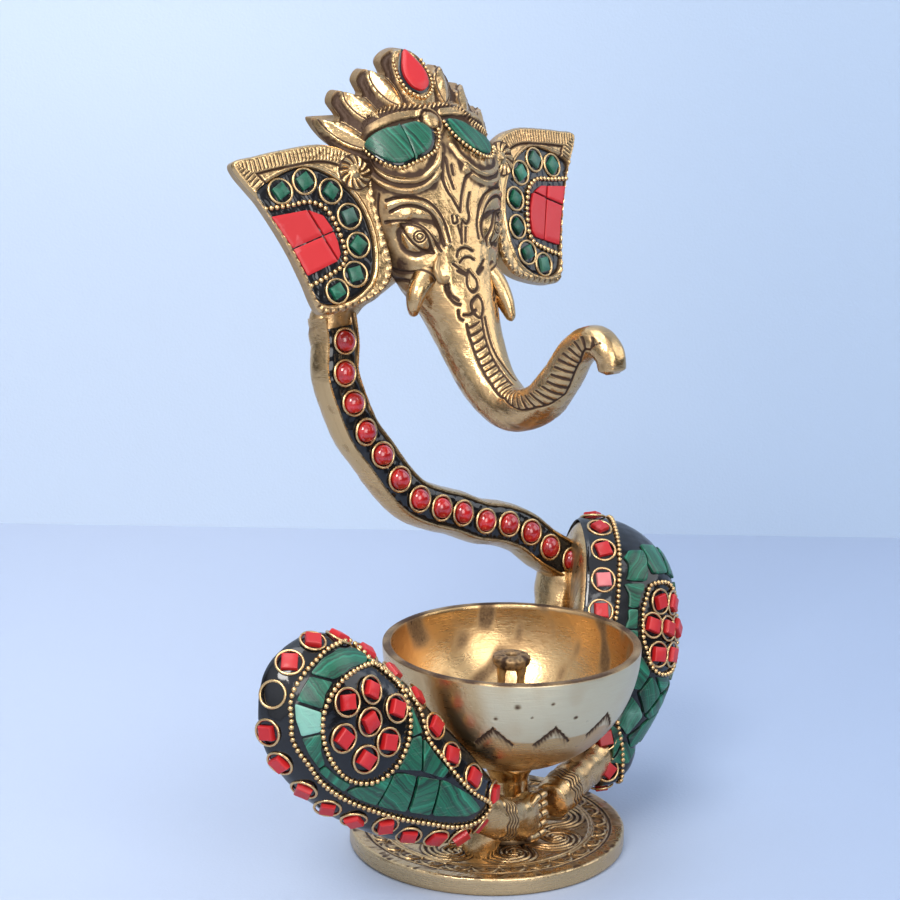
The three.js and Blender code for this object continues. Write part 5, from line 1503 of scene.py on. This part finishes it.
# Each knee in its own plane, in mm: the rim with its depth behind the crest, the place and
# directions of the plane, the outlines and lines of the inlay, and the stones that are gone,
# faded or worn
KNEES = {
    "right": {
        "rim": [[29, 0.9, 12], [25.5, 11.9, 12], [17, 20.6, 12], [3, 25.2, 12], [-14, 26.1, 12],
                [-31, 23.8, 12], [-44, 20.1, 11], [-55, 13.7, 10], [-59.6, 5.5, 9], [-57.5, -4.1, 7],
                [-47, -7.3, 5], [-27, -11.4, 6], [-9, -15.7, 9], [9, -16.5, 12], [21.5, -12.8, 12]],
        "middle": (-68.0, -25.8, 63.8), "along": (-0.771, 0.104, 0.628), "across": (-0.637, -0.093, -0.766),
        "facing": (-0.022, -0.99, 0.138), "edge": 92, "back": 9.0, "crest": (0.0, 0.0, 0.0),
        "oval": [[2.8, -14], [-4.8, -13.5], [-10.2, -10.5], [-14, -5.5], [-16, 1], [-15.8, 8.2],
                 [-12.2, 14.2], [-5.5, 17], [2.2, 16], [9.5, 12.2], [13.8, 6.5], [14.5, -0.2],
                 [11.5, -7.2]],
        "rings": [[22.6, -10.4], [26.8, -1.7], [26.4, 7.8], [21, 16.9], [12.9, 22.1], [1.9, 24.7],
                  [-8.3, 25.5], [-17.5, 24.5], [-27, 21.5], [-36.6, 20.2], [-45, 16.7], [-52.5, 12.5],
                  [-58.4, 6], [-55.6, -2.6], [-44.3, -2.8], [-33.4, -4.6], [-24.5, -9], [-16, -13.6],
                  [-5.3, -15.5], [4.7, -16.2], [14.8, -15.6]],
        "gone": 2, "faded": -1,
        "wire": [[10.7, -16], [18.4, -11], [21.6, -5.3], [23.2, -0.7], [23.7, 4], [22.5, 7.9],
                 [20.1, 11.3], [16.9, 15.3], [13.5, 17.4], [7.9, 19.2], [2.5, 20.9], [-3.5, 21.6],
                 [-10.6, 21.4], [-19.9, 19.9], [-29.2, 17.7], [-38.2, 14.7], [-46.6, 11.6], [-53.7, 6.6],
                 [-56.3, 0.9], [-45.7, 1.2], [-37.3, -0.2], [-29.4, -2.3], [-22.5, -4.3], [-15.1, -10.9],
                 [-4, -13.4], [4, -14.2]],
        "flower": [[-0.5, 1], [9.2, 0], [3, -6.8], [-7.8, -6.5], [-9.5, 2.8], [-5.5, 10.2], [4.8, 8.8]],
        "slabs": [[[22, -1.4], [20.4, -6.6], [16.6, -11.6], [11, -14.4], [6, -15], [6.2, -12.9],
                   [12, -8.6], [15.4, -3.4]], [[5.2, -15], [0.2, -14.7], [0, -14.6], [5.6, -13.4]],
                  [[-9.4, -12.9], [-6.8, -14.2], [-3, -14.6], [-4.5, -14.1]],
                  [[21.8, 6.6], [22.2, 3.2], [21.8, -0.8], [15.6, -2.6], [16.2, 1.2], [15, 5.2]],
                  [[15.4, 14], [19.2, 11], [21.8, 7.4], [14.8, 6], [13.6, 8], [11.8, 10.4]],
                  [[5.2, 18.6], [10.4, 17], [15, 14.4], [11.4, 11], [8.4, 14.6], [4.6, 17.1]],
                  [[4.6, 19.2], [-0.6, 20], [-6.4, 20.2], [-6.4, 17.9], [-1.4, 18], [4.2, 17.4]],
                  [[-18.2, 18.8], [-12.4, 19.8], [-7, 20], [-8.6, 17.6], [-13, 14.8], [-16.4, 9.6]],
                  [[-28.2, 15.8], [-23.2, 17.4], [-18.6, 18.6], [-16.6, 9.2], [-19.8, 7.6], [-24, 6.4]],
                  [[-29, 15.4], [-36, 13], [-32, 3.6], [-24.8, 6]],
                  [[-36.8, 12.8], [-42, 10.4], [-48, 7.6], [-52, 3.6], [-45, 2.2], [-34, 2.8],
                   [-32.6, 3.4]], [[-13, -9.6], [-19.6, -5], [-16.6, -2.2]],
                  [[-16.8, -1.8], [-19.6, -4.2], [-24.8, 4.4], [-17.2, 7.8], [-17.2, 3]],
                  [[-20.8, -3.6], [-27.2, -1.6], [-34, 0], [-33, 2.6], [-25.2, 4.4]]],
        "worn": (4,),
    },
    "left": {
        "rim": [[29, 0.8, 28], [25.5, 10.4, 28], [17, 18, 28], [3, 22, 28], [-14, 22.8, 28],
                [-31, 20.8, 27], [-42, 17.6, 25], [-51, 12, 23], [-55, 4.8, 22], [-53.5, -3.6, 22],
                [-45, -6.4, 23], [-27, -10, 26], [-9, -13.8, 28], [9, -14.4, 28], [21.5, -11.2, 28]],
        "middle": (77.2, -2.7, 59.4), "along": (0.357, 0.304, 0.906), "across": (0.477, 0.87, -0.125),
        "facing": (0.866, -0.49, -0.103), "edge": 102, "back": 5.0, "crest": (0.8, 0.0104, -10.0),
        "oval": [[11.4, -8.4], [10.8, -10.8], [7.8, -11.8], [3.6, -12.4], [-0.6, -12.4], [-5.4, -12],
                 [-9.8, -11], [-15.4, -9], [-17.8, -6.6], [-18.2, -4.2], [-17, -1.2], [-12, 1.4],
                 [-4, 1.9], [3.2, 0.6], [8, -3], [10.8, -6]],
        "rings": None, "gone": -1, "faded": 17, "wire": None,
        "flower": [[-3.4, -6.8], [5.4, -9.2], [4.4, -4.0], [-2, -10.8], [-4, -2], [-11.4, -8.6], [-12, -4]],
        "slabs": [[[19, -12.2], [20.8, -10.8], [20.8, -8.6], [16.8, -10.4], [11.8, -11.6], [12, -13.6]],
                  [[22.4, -7.2], [21.6, -2], [13.8, -5.6], [14, -10], [17.2, -10.2], [20.6, -8.4]],
                  [[21.2, -1.2], [18, 2.5], [11.2, 0.2], [13.6, -5.2]],
                  [[11, -13.8], [11.4, -12], [10, -12], [6.8, -12.8], [3.6, -13.1], [3.6, -13.9]],
                  [[3.2, -13.9], [3.2, -13.1], [-3, -12.9], [-3, -13.8]],
                  [[-3.4, -13.7], [-3.4, -12.8], [-8, -12.2], [-8.8, -13.2]],
                  [[-9.4, -12.9], [-12, -11.2], [-17.2, -8.8], [-23, -8.8], [-21.4, -10.6]],
                  [[-18.4, -8.2], [-24.6, -4], [-31, -5.6], [-23.6, -8.8]],
                  [[-18.9, -7], [-19.8, -2.2], [-22.4, -1.4], [-24.4, -3.8]],
                  [[-24.4, -9.4], [-31.6, -5.6], [-37.8, -6.4], [-33.6, -8.4]],
                  [[-25.2, -3.2], [-23.6, -0.8], [-28.6, 1], [-32.8, -3.8], [-31.4, -5.2]],
                  [[-33.2, -3.8], [-29.8, 1], [-38.6, 0.8], [-42, -4], [-38.2, -6.2]],
                  [[-34, -8.6], [-38.4, -6.6], [-45.2, -6]],
                  [[-39.6, -6], [-42.4, -3.6], [-43, -1], [-47.5, -3], [-47, -5.8]],
                  [[19, 3.5], [15, 13.5], [9.5, 9.5], [11.4, 1.2]],
                  [[14.5, 14.5], [4, 18.5], [2, 12.6], [9, 10.4]],
                  [[3.5, 18.8], [-10, 19.5], [-9, 13], [1.5, 13]],
                  [[-10.5, 19.5], [-24, 18.5], [-20, 12], [-9.5, 13]],
                  [[-24.5, 18.4], [-36, 15], [-32.5, 7.8], [-20.5, 11.8]],
                  [[-36.5, 14.6], [-45.5, 8.5], [-42, 2], [-33, 7.4]],
                  [[1.5, 12.5], [-9, 12.5], [-8, 3.4], [1, 3]],
                  [[-9.5, 12.6], [-19.8, 11.4], [-21.5, 1], [-18.5, 1], [-9, 3.2]],
                  [[-20.4, 11.2], [-32.4, 7.2], [-29.5, 1.8], [-22.4, 0.4]],
                  [[8.6, 9.8], [2.2, 12.4], [1.8, 2.8], [10.4, 0.4]],
                  [[-33, 6.8], [-41.5, 1.6], [-30.4, 1.7]]],
        "worn": (9, 16),
    },
}


class Dome:
    """The rounded front of a knee: from a crest line down quarter ellipses to its rim. Key
    runs round the crest, and dip is 0 on the crest and 90 degrees at the rim."""

    def __init__(self, knee):
        self.knee = knee
        rim = catmull(knee["rim"], np.linspace(0, 1, 3000, endpoint=False), True)
        key = self.key(rim[:, :2]) % KEY_TURN
        order = np.argsort(key)
        self.keys, self.rim = key[order], rim[order]
        self.middle, self.along, self.across, self.facing = (
            np.array(knee[name]) for name in ("middle", "along", "across", "facing"))
        self.edge = math.radians(knee["edge"])

    def key(self, places):
        """How far round the crest places (..., 2) lie."""
        u, v = places[..., 0], places[..., 1]
        low, high = DOME_CREST
        run = (high - low) / KEY_RUN
        round_crest = np.arctan2(v - DOME_MIDDLE, u - np.clip(u, low, high))
        left = np.where(round_crest > 0, round_crest, round_crest + 2 * np.pi) + run
        upper = np.where(v > DOME_MIDDLE, np.pi / 2 + (high - u) / KEY_RUN,
                         3 * np.pi / 2 + run + (u - low) / KEY_RUN)
        return np.where(u > high, round_crest, np.where(u < low, left, upper))

    def rim_at(self, key):
        key = key % KEY_TURN
        return np.stack([np.interp(key, self.keys, self.rim[:, k], period=KEY_TURN) for k in range(3)], -1)

    def raw(self, key, dip):
        """Points at keys and dips."""
        rim = self.rim_at(key)
        crest = np.clip(rim[..., 0], *DOME_CREST)
        u = crest + (rim[..., 0] - crest) * np.sin(dip)
        v = DOME_MIDDLE + (rim[..., 1] - DOME_MIDDLE) * np.sin(dip)
        top, fall, level = self.knee["crest"]
        rise = top - fall * (crest - level) ** 2
        drop = rise - (rim[..., 2] + rise) * (1 - np.cos(dip))
        spot = self.middle + u[..., None] * self.along + v[..., None] * self.across
        return spot + drop[..., None] * self.facing

    def at(self, key, dip, lift=0.0):
        """Points and normals at keys and dips, lifted off the skin."""
        key, dip = np.broadcast_arrays(key, dip)
        small, steady = 0.02, np.maximum(dip, 0.05)
        round_it = self.raw(key + small, steady) - self.raw(key - small, steady)
        down = self.raw(key, steady + small) - self.raw(key, steady - small)
        up = unit(np.cross(round_it, down))
        rim = self.rim_at(key)
        crest = np.clip(rim[..., 0], *DOME_CREST)
        outward = (rim[..., 0] - crest)[..., None] * self.along
        outward = outward + (rim[..., 1] - DOME_MIDDLE)[..., None] * self.across
        guess = self.facing * np.cos(dip)[..., None] + unit(outward) * np.sin(dip)[..., None]
        up = up * np.sign((up * guess).sum(-1, keepdims=True))
        calm = ramp(0.3, 0.06, dip)[..., None]
        up = unit(up * (1 - calm) + self.facing * calm)
        return self.raw(key, dip) + up * np.broadcast_to(lift, key.shape)[..., None], up

    def plan(self, places):
        """Keys and dips of places (..., 2)."""
        key = self.key(places)
        rim = self.rim_at(key)
        crest = np.clip(rim[..., 0], *DOME_CREST)
        here = np.clip(places[..., 0], *DOME_CREST)
        share = np.hypot(places[..., 0] - here, places[..., 1] - DOME_MIDDLE) \
            / np.maximum(np.hypot(rim[..., 0] - crest, rim[..., 1] - DOME_MIDDLE), 1e-6)
        return key, np.arcsin(np.clip(share, 0.0, 0.985))

    def lay(self, places):
        """Points and normals at places (..., 2)."""
        return self.at(*self.plan(places))

    def inward(self, key, distance):
        """The dip that lies a distance over the skin in from the rim's edge."""
        dips = np.linspace(self.edge, 0.05, 60)
        line = self.raw(key[:, None], dips[None])
        steps = np.linalg.norm(np.diff(line, axis=1), axis=-1)
        far = np.concatenate([np.zeros((len(key), 1)), np.cumsum(steps, 1)], 1)
        return np.array([np.interp(distance, row, dips) for row in far])

    def run(self, distance, count):
        """Keys and dips evenly spaced along a line that keeps a distance from the rim."""
        key = np.linspace(0, KEY_TURN, 400, endpoint=False)
        dip = self.inward(key, distance)
        both = np.column_stack([self.raw(key, dip), key, dip])
        both = np.vstack([both, np.append(self.raw(key[:1], dip[:1])[0], [KEY_TURN, dip[0]])])
        far = walked(both[:, :3])
        want = np.linspace(0, far[-1], count, endpoint=False)
        return np.interp(want, far, both[:, 3]), np.interp(want, far, both[:, 4])


class LAMP_OT_knees(bpy.types.Operator):
    """Make the inlay of the knees: lac, rings with red stones, beads, green slabs, a rosette"""

    bl_idname = "lamp.knees"
    bl_label = "Knees"

    def execute(self, context):
        for side, knee in KNEES.items():
            dome = Dome(knee)
            self.lac(side, dome)
            self.rim(side, dome)
            self.field(side, dome)
        return {"FINISHED"}

    def lac(self, side, dome):
        """The lac: a glossy skin over the whole knee, rolled over at its edge."""
        key = np.linspace(0, KEY_TURN, 560, endpoint=False)
        dips = np.linspace(0.03, dome.edge, 110)
        front, up = dome.at(key[None], dips[:, None], 1.0)
        lump = 0.07 * waves(front, 7.0, 81)
        front = front + up * lump[..., None]
        edge, up = dome.at(key, np.full_like(key, dome.edge + 0.035), 0.55)
        low = dome.at(key, np.full_like(key, dome.edge + 0.01), 0.05)[0]
        back = dome.at(key[None], dips[::-10, None], 0.05)[0]
        Form().sheet(np.concatenate([front, edge[None], low[None], back])).piece(
            f"{side}_knee_bed", "lac", "lac_black", [f"{side}_knee_lac"], sharp=1.0)

    def rim(self, side, dome):
        """The ring of square red stones near the rim."""
        knee = dome.knee
        rng = np.random.default_rng(90 if side == "right" else 91)
        if knee["rings"]:
            points, ups = dome.lay(np.asarray(knee["rings"], float))
        else:
            points, ups = dome.at(*dome.run(RIM_INSET, RIM_RINGS))
        points, ups = points + ups * 0.7, ups + rng.normal(0, 0.05, ups.shape)
        count = len(points)
        Form().scatter(hoop(size("ring"), size("ring_wire"), 48, 10), points, ups,
                       scale=rng.uniform(0.95, 1.04, (count, 3))).piece(
            f"{side}_knee_rings", "brass_wire", "brass_cast", [f"{side}_knee_rim_setting"])
        keep = np.arange(count) != knee["gone"]
        tall = rng.uniform(0.8, 1.12, (count, 3))
        tall[:, :2] = rng.uniform(0.9, 1.08, (count, 2))
        guide = np.roll(points, -1, 0) - points
        turns = rng.uniform(-0.5, 0.5, count) + 0.4
        pale = (np.arange(count)[keep] == knee["faded"]) * 1.0
        Form().scatter(chip_form(size("chip"), size("chip_height")), points[keep], ups[keep], guide[keep],
                       turns[keep], scale=tall[keep], tone=rng.uniform(0, 0.9, keep.sum()), pale=pale).piece(
            f"{side}_knee_chips", "red_stone", "stone_red")

    def field(self, side, dome):
        """Inside the ring: a beaded wire, slabs of malachite, a beaded oval and a rosette."""
        knee = dome.knee
        rng = np.random.default_rng(95 if side == "right" else 96)
        if knee["wire"]:
            points, ups = dome.lay(smooth_line(knee["wire"], 360, closed=True))
        else:
            points, ups = dome.at(*dome.run(WIRE_INSET, 360))
        beads(Form(), points + ups * 1.1, ups, closed=True).piece(
            f"{side}_knee_beads", "brass_wire", "brass_cast", [f"{side}_knee_outer_wire"])
        points, ups = dome.lay(smooth_line(knee["oval"], 200, closed=True))
        beads(Form(), points + ups * 1.1, ups, closed=True).piece(
            f"{side}_knee_oval", "brass_wire", "brass_cast", [f"{side}_knee_inner_wire"])
        self.slabs(side, dome, rng)
        points, ups = dome.lay(np.asarray(knee["flower"], float))
        points, ups = points + ups * 1.15, ups + rng.normal(0, 0.04, ups.shape)
        Form().scatter(hoop(size("ring") * 1.05, size("ring_wire"), 48, 10), points, ups).piece(
            f"{side}_flower_rings", "brass_wire", "brass_cast", [f"{side}_knee_rosette"])
        guide = np.tile(dome.along, (len(points), 1))
        Form().scatter(chip_form(size("chip"), size("chip_height") * 0.95), points, ups, guide,
                       rng.uniform(0, 1.5, len(points)), scale=rng.uniform(0.92, 1.06, (len(points), 3)),
                       tone=rng.uniform(0, 0.9, len(points)), pale=0.0).piece(
            f"{side}_flower_chips", "red_stone", "stone_red")

    def slabs(self, side, dome, rng):
        """The malachite: slabs with their own banding, worn pale in places."""
        knee = dome.knee
        form = Form()
        for number, outline in enumerate(knee["slabs"]):
            corners = np.asarray(outline, float)
            middle = corners.mean(0)
            dense = spread(corners, 64, closed=True)
            dense = dense + unit(middle - dense) * 0.08
            blunt = (dense + np.roll(dense, 1, 0) + np.roll(dense, -1, 0)) / 3
            grid, tips = slab(blunt, dome.lay, 0.8, 1.8 + rng.uniform(-0.15, 0.15), 0.22, rows=7, count=72)
            way = unit(rng.normal(size=3))
            worn = 1.0 if number in knee["worn"] else 0.06
            form.sheet(grid, tips=tips, band=grid @ way * 0.55 + number * 9.0, worn=worn)
        form.piece(f"{side}_knee_green", "malachite", "malachite_green", [f"{side}_knee_malachite"])


LEG_PARTS = {
    "right": {
        "limbs": [[[-38, -21, 34, 6, 7], [-27, -22, 26, 6, 7], [-17, -22.5, 19.5, 6, 6.4],
                   [-8, -21.5, 16, 5, 6.6], [-3, -20.5, 15, 4.6, 7.6], [0.5, -20, 14.8, 4, 7.6]],
                  [[-16, -15, 5.3, 6, 5], [-16, -16, 8, 5.5, 4.6], [-15, -18, 12, 4.6, 4],
                   [-14, -19, 15, 4, 3.4]]],
        "anklet": [-14.5, -22.3, 18.5],
    },
    "left": {
        "limbs": [[[46, -4, 23, 7, 7], [36, -8, 20, 6.5, 6.5], [26, -12, 18.5, 6, 6], [17, -15.5, 17, 6, 6],
                   [9.5, -18, 15.5, 5.5, 6]],
                  [[26, 20, 5.3, 8, 7], [27, 21, 10, 6, 5], [38, 23, 36, 5.4, 4.8], [48, 24.5, 56, 6.5, 5.6],
                   [52, 27, 67, 8, 6], [53, 28, 74, 7, 5.4]]],
        "anklet": [17, -15.5, 17],
    },
}
KNEE_BACK_MIDDLE = -13
# The knee's back, ring by ring: how wide it still is, and how far back it lies
KNEE_BACK = ((0.985, 0.12), (0.96, 0.3), (0.92, 0.5), (0.8, 0.75), (0.6, 1.0), (0.35, 1.08), (0.1, 1.1))
ANKLET_LINES = (-2.6, -1.2, 0.2, 1.6)
TOES = 5
TOE_START = (2.0, -20.0, 8.6)
TOE_STEP = 3.1
BOWL_CLEAR = 0.35


def clear_bowl(points):
    """Points moved out of the bowl's side, and up from the base plate."""
    height = np.clip(points[..., 2], BOWL_BOTTOM, BOWL_TOP)
    t = share_at(height, BOWL_BOTTOM) * np.pi / 2
    want = BOWL_RIM * np.sin(t) ** 0.9 + BOWL_CLEAR
    away = points[..., :2] - [0, BOWL_Y]
    far = np.linalg.norm(away, axis=-1)
    push = np.where((points[..., 2] > BOWL_BOTTOM) & (far < want) & (far > 0.55 * want), want - far, 0.0)
    moved = points.copy()
    moved[..., :2] += away / np.maximum(far, 1e-6)[..., None] * push[..., None]
    return moved


class LAMP_OT_legs(bpy.types.Operator):
    """Make the cast legs: shins, the near foot with its toes, anklets and the knees' backs"""

    bl_idname = "lamp.legs"
    bl_label = "Legs"

    def execute(self, context):
        for side, knee in KNEES.items():
            form = Form()
            self.pad(form, Dome(knee))
            for number, stations in enumerate(LEG_PARTS[side]["limbs"]):
                self.limb(form, side, stations, number)
            if side == "right":
                self.toes(form)
            form.piece(f"{side}_limb", "cast_brass", "brass_cast", [f"{side}_leg"], sharp=1.0)
        return {"FINISHED"}

    def pad(self, form, dome):
        """The knee's back: a shell under the lac that closes behind it, its lip showing."""
        key = np.linspace(0, KEY_TURN, 420, endpoint=False)
        dips = np.linspace(0.05, dome.edge, 30)
        front = dome.at(key[None], dips[:, None], -0.05)[0]
        lip = dome.at(key, np.full_like(key, dome.edge), 0.0)[0]
        spot = dome.middle + dome.along * KNEE_BACK_MIDDLE + dome.across * DOME_MIDDLE
        spot = spot - dome.facing * dome.knee["rim"][3][2]
        rows = [spot + (lip - spot) * scale - dome.facing * drop * dome.knee["back"]
                for scale, drop in KNEE_BACK]
        grid = clear_bowl(np.concatenate([front, np.array(rows)]))
        form.sheet(grid, patina=np.clip(0.25 + 0.25 * waves(grid, 6.0, 85), 0, 1))

    def limb(self, form, side, stations, number):
        """A limb with cast unevenness, and a wavy chased anklet on the shin."""
        grid = limb(stations, 150, 110, power=2.3, wave=1.4, seed=86 + number)
        patina = np.clip(0.12 + 0.2 * waves(grid, 5.0, 87), 0, 1)
        if number == 0:
            spot = np.array(LEG_PARTS[side]["anklet"], float)
            way = unit(np.array(stations[-1][:3], float) - np.array(stations[-2][:3], float))
            far = (grid - spot) @ way
            turn = np.arange(grid.shape[1]) * 2 * np.pi / grid.shape[1]
            lines = np.zeros(far.shape)
            for shift in ANKLET_LINES:
                lines = np.maximum(lines, hill(far - shift - 0.5 * np.sin(9 * turn), 0.34))
            band = ramp(3.4, 2.6, np.abs(far + 0.4))
            grid = grid + normals_of(grid) * (band * 0.35 - lines * 0.45)[..., None]
            patina = np.maximum(patina, lines)
        form.sheet(clear_bowl(grid), patina=patina)

    def toes(self, form):
        """Five long toes: knuckled tubes that reach forward from the foot, one over another."""
        for number in range(TOES):
            x, y, z = TOE_START[0], TOE_START[1], TOE_START[2] + number * TOE_STEP
            path = smooth_line([[x - 7, y - 3.5, z * 0.8 + 2.6], [x - 2.5, y - 2.2, z],
                                [x + 1.2, y - 1.4, z + 0.2],
                                [x + 4.2 - 0.5 * abs(number - 2), y - 0.9, z - 0.3]], 60)
            t = np.linspace(0, 1, 60)
            wide = 1.5 + 0.25 * hill(t - 0.45, 0.1) + 0.15 * hill(t - 0.8, 0.1)
            toe = tube(path, (0, 0, 1), wide * round_ends(60, 0.2), 1.9 * round_ends(60, 0.2), 30)
            joint = hill(t - 0.6, 0.03)[:, None] * np.ones(30)
            toe -= normals_of(toe) * (joint * 0.2)[..., None]
            form.sheet(toe, patina=np.clip(joint * 0.9 + 0.7 * ramp(0.2, 0.05, t)[:, None], 0, 1))


NECK = [[-31, 42, 152, 5, 4.6], [-30.8, 42.4, 159, 6.4, 4.8], [-28.6, 43, 165, 6.8, 4.8],
        [-24, 42.4, 169, 6.6, 4.6], [-19.3, 39, 173, 6.2, 4.4], [-14.4, 35, 178.6, 6, 4.2],
        [-11.2, 31.5, 185.5, 6.6, 4.1]]


class LAMP_OT_neck(bpy.types.Operator):
    """Make the arm that carries the head, from the spine's top behind the near ear"""

    bl_idname = "lamp.neck"
    bl_label = "Neck"

    def execute(self, context):
        grid = limb(NECK, 120, 80, side=(1, 0, 0), power=2.4, wave=1.4, seed=88)
        Form().sheet(grid, patina=np.clip(0.2 + 0.2 * waves(grid, 5.0, 89), 0, 1)).piece(
            "neck_arm", "cast_brass", "brass_cast", ["spine"])
        return {"FINISHED"}


CAMERA_PLACE = (-0.46163, -0.52911, 0.30436)
CAMERA_AZIMUTH = math.radians(-40)
CAMERA_ELEVATION = math.radians(14.253)
CAMERA_ROLL = math.radians(0.946)
CAMERA_LENS = 96.0
WALL_AWAY = 0.347
STAGE_REACH = 2
# This and the next: the width over which the boards' painted shade darkens them towards the camera's right,
# and the colour factor it reaches there
STAGE_WIDE = 0.36
STAGE_PAINTED_SHADE = (0.71, 0.76, 0.82)
SKY_BRIGHT = (-0.55, -0.35, 0.76)
LIGHT_AIM = Vector((0, 0, 0.12))
LIGHTS = (("key", (-0.78, -0.42, 0.98), 0.42, 9.5, (1.0, 0.97, 0.93)),
          ("front", (-0.25, -1.05, 0.55), 0.6, 5.0, (1.0, 0.98, 0.96)),
          ("fill", (0.75, -0.62, 0.65), 0.7, 3.4, (0.93, 0.96, 1.0)),
          ("top", (-0.12, 0.12, 1.2), 0.7, 6.0, (0.96, 0.98, 1.0)))


def camera_axes():
    """The camera's right, up and backward directions."""
    a, e = CAMERA_AZIMUTH, CAMERA_ELEVATION
    back = Vector((math.sin(a) * math.cos(e), -math.cos(a) * math.cos(e), math.sin(e)))
    right = Vector((math.cos(a), math.sin(a), 0))
    up = back.cross(right)
    return (right * math.cos(CAMERA_ROLL) + up * math.sin(CAMERA_ROLL),
            up * math.cos(CAMERA_ROLL) - right * math.sin(CAMERA_ROLL), back)


def board(name, corners, colour, roughness):
    """A flat board of the stage: painted shade makes it darker towards the camera's right, and it
    is clear from behind, so that the lamp can be looked at from every side."""
    g = Graph(name)
    right = (math.cos(CAMERA_AZIMUTH), math.sin(CAMERA_AZIMUTH), 0.0)
    across = g.along(g.place, right)
    # Painted shade: the board's colour darkens across the view towards the camera's right
    shade = (across / STAGE_WIDE + 0.5).stepped(0.0, 1.0)
    far = tuple(level * fade for level, fade in zip(colour, STAGE_PAINTED_SHADE))
    behind = g.node("ShaderNodeNewGeometry", {}, {}, output="Backfacing")
    shown = g.blend(shade, tuple(colour), far)
    material = g.finish(Base_Color=shown, Roughness=roughness, Alpha=1.0 - behind,
                        Normal=g.bump(g.noise(900.0), 0.0001))
    mesh = bpy.data.meshes.new(name)
    mesh.from_pydata([tuple(corner) for corner in corners], [], [(0, 1, 2, 3)])
    mesh.materials.append(material)
    made = bpy.data.objects.new(name, mesh)
    bpy.context.scene.collection.objects.link(made)


class LAMP_OT_stage(bpy.types.Operator):
    """Make the table, the backdrop, the lights and the camera"""

    bl_idname = "lamp.stage"
    bl_label = "Stage"

    def execute(self, context):
        scene = context.scene
        colours = scene.lamp_colours
        a = CAMERA_AZIMUTH
        right, away = Vector((math.cos(a), math.sin(a), 0)), Vector((-math.sin(a), math.cos(a), 0))
        wall = away * WALL_AWAY
        right, away, rise = right * STAGE_REACH, away * STAGE_REACH, Vector((0, 0, STAGE_REACH))
        board("table_top", [-right - away, right - away, right + away, -right + away], colours.table, 0.55)
        board("backdrop", [wall - right, wall + right, wall + right + rise, wall - right + rise],
              colours.wall, 0.7)
        self.world(scene)
        for name, place, wide, power, colour in LIGHTS:
            light = bpy.data.lights.new(name, "AREA")
            light.size = wide
            light.energy = power
            light.color = colour
            lamp = bpy.data.objects.new(name, light)
            lamp.location = place
            lamp.rotation_mode = "QUATERNION"
            lamp.rotation_quaternion = (LIGHT_AIM - Vector(place)).to_track_quat("-Z", "Y")
            scene.collection.objects.link(lamp)
        data = bpy.data.cameras.new("camera")
        data.lens = CAMERA_LENS
        camera = bpy.data.objects.new("camera", data)
        camera.matrix_world = Matrix.Translation(CAMERA_PLACE) @ Matrix(camera_axes()).transposed().to_4x4()
        scene.collection.objects.link(camera)
        scene.camera = camera
        scene.view_settings.view_transform = "Standard"
        return {"FINISHED"}

    def world(self, scene):
        """A sky for the metal: for light that it mirrors, it is dark low down and at the
        right and bright above and to the left, and for all other light it is even."""
        world = bpy.data.worlds.new("studio")
        scene.world = world
        g = Sky(world)
        way = g.node("ShaderNodeTexCoord", {}, {}, output="Generated")
        side = g.along(way, SKY_BRIGHT)
        mirrored = g.node("ShaderNodeLightPath", {}, {}, output="Is Glossy Ray")
        bright = side.stepped(0.15, 0.95) * 1.1 + 0.07
        g.feed(g.shader.inputs[0], (0.82, 0.88, 1.0, 1.0))
        g.feed(g.shader.inputs[1], mirrored * bright + (1.0 - mirrored) * 0.5)


class LAMP_PT_panel(bpy.types.Panel):
    """Lists the lamp's steps in the sidebar"""

    bl_idname = "LAMP_PT_panel"
    bl_label = "Lamp"
    bl_space_type = "VIEW_3D"
    bl_region_type = "UI"
    bl_category = "Lamp"

    def draw(self, context):
        for operator in OPERATORS:
            self.layout.operator(operator.bl_idname)
        for group in (context.scene.lamp_colours, context.scene.lamp_sizes):
            for name in group.__annotations__:
                self.layout.prop(group, name)


OPERATORS = (LAMP_OT_finishes, LAMP_OT_base, LAMP_OT_bowl, LAMP_OT_spine, LAMP_OT_corals,
             LAMP_OT_neck, LAMP_OT_head,
             LAMP_OT_crown, LAMP_OT_brows, LAMP_OT_ears, LAMP_OT_legs, LAMP_OT_knees, LAMP_OT_stage)
CLASSES = (LampColours, LampSizes, *OPERATORS, LAMP_PT_panel)


def register():
    for cls in CLASSES:
        bpy.utils.register_class(cls)
    bpy.types.Scene.lamp_colours = bpy.props.PointerProperty(type=LampColours)
    bpy.types.Scene.lamp_sizes = bpy.props.PointerProperty(type=LampSizes)


def unregister():
    del bpy.types.Scene.lamp_sizes
    del bpy.types.Scene.lamp_colours
    for cls in reversed(CLASSES):
        bpy.utils.unregister_class(cls)


def main():
    register()
    for operator in OPERATORS:
        group, name = operator.bl_idname.split(".")
        getattr(getattr(bpy.ops, group), name)()


if __name__ == "__main__":
    main()
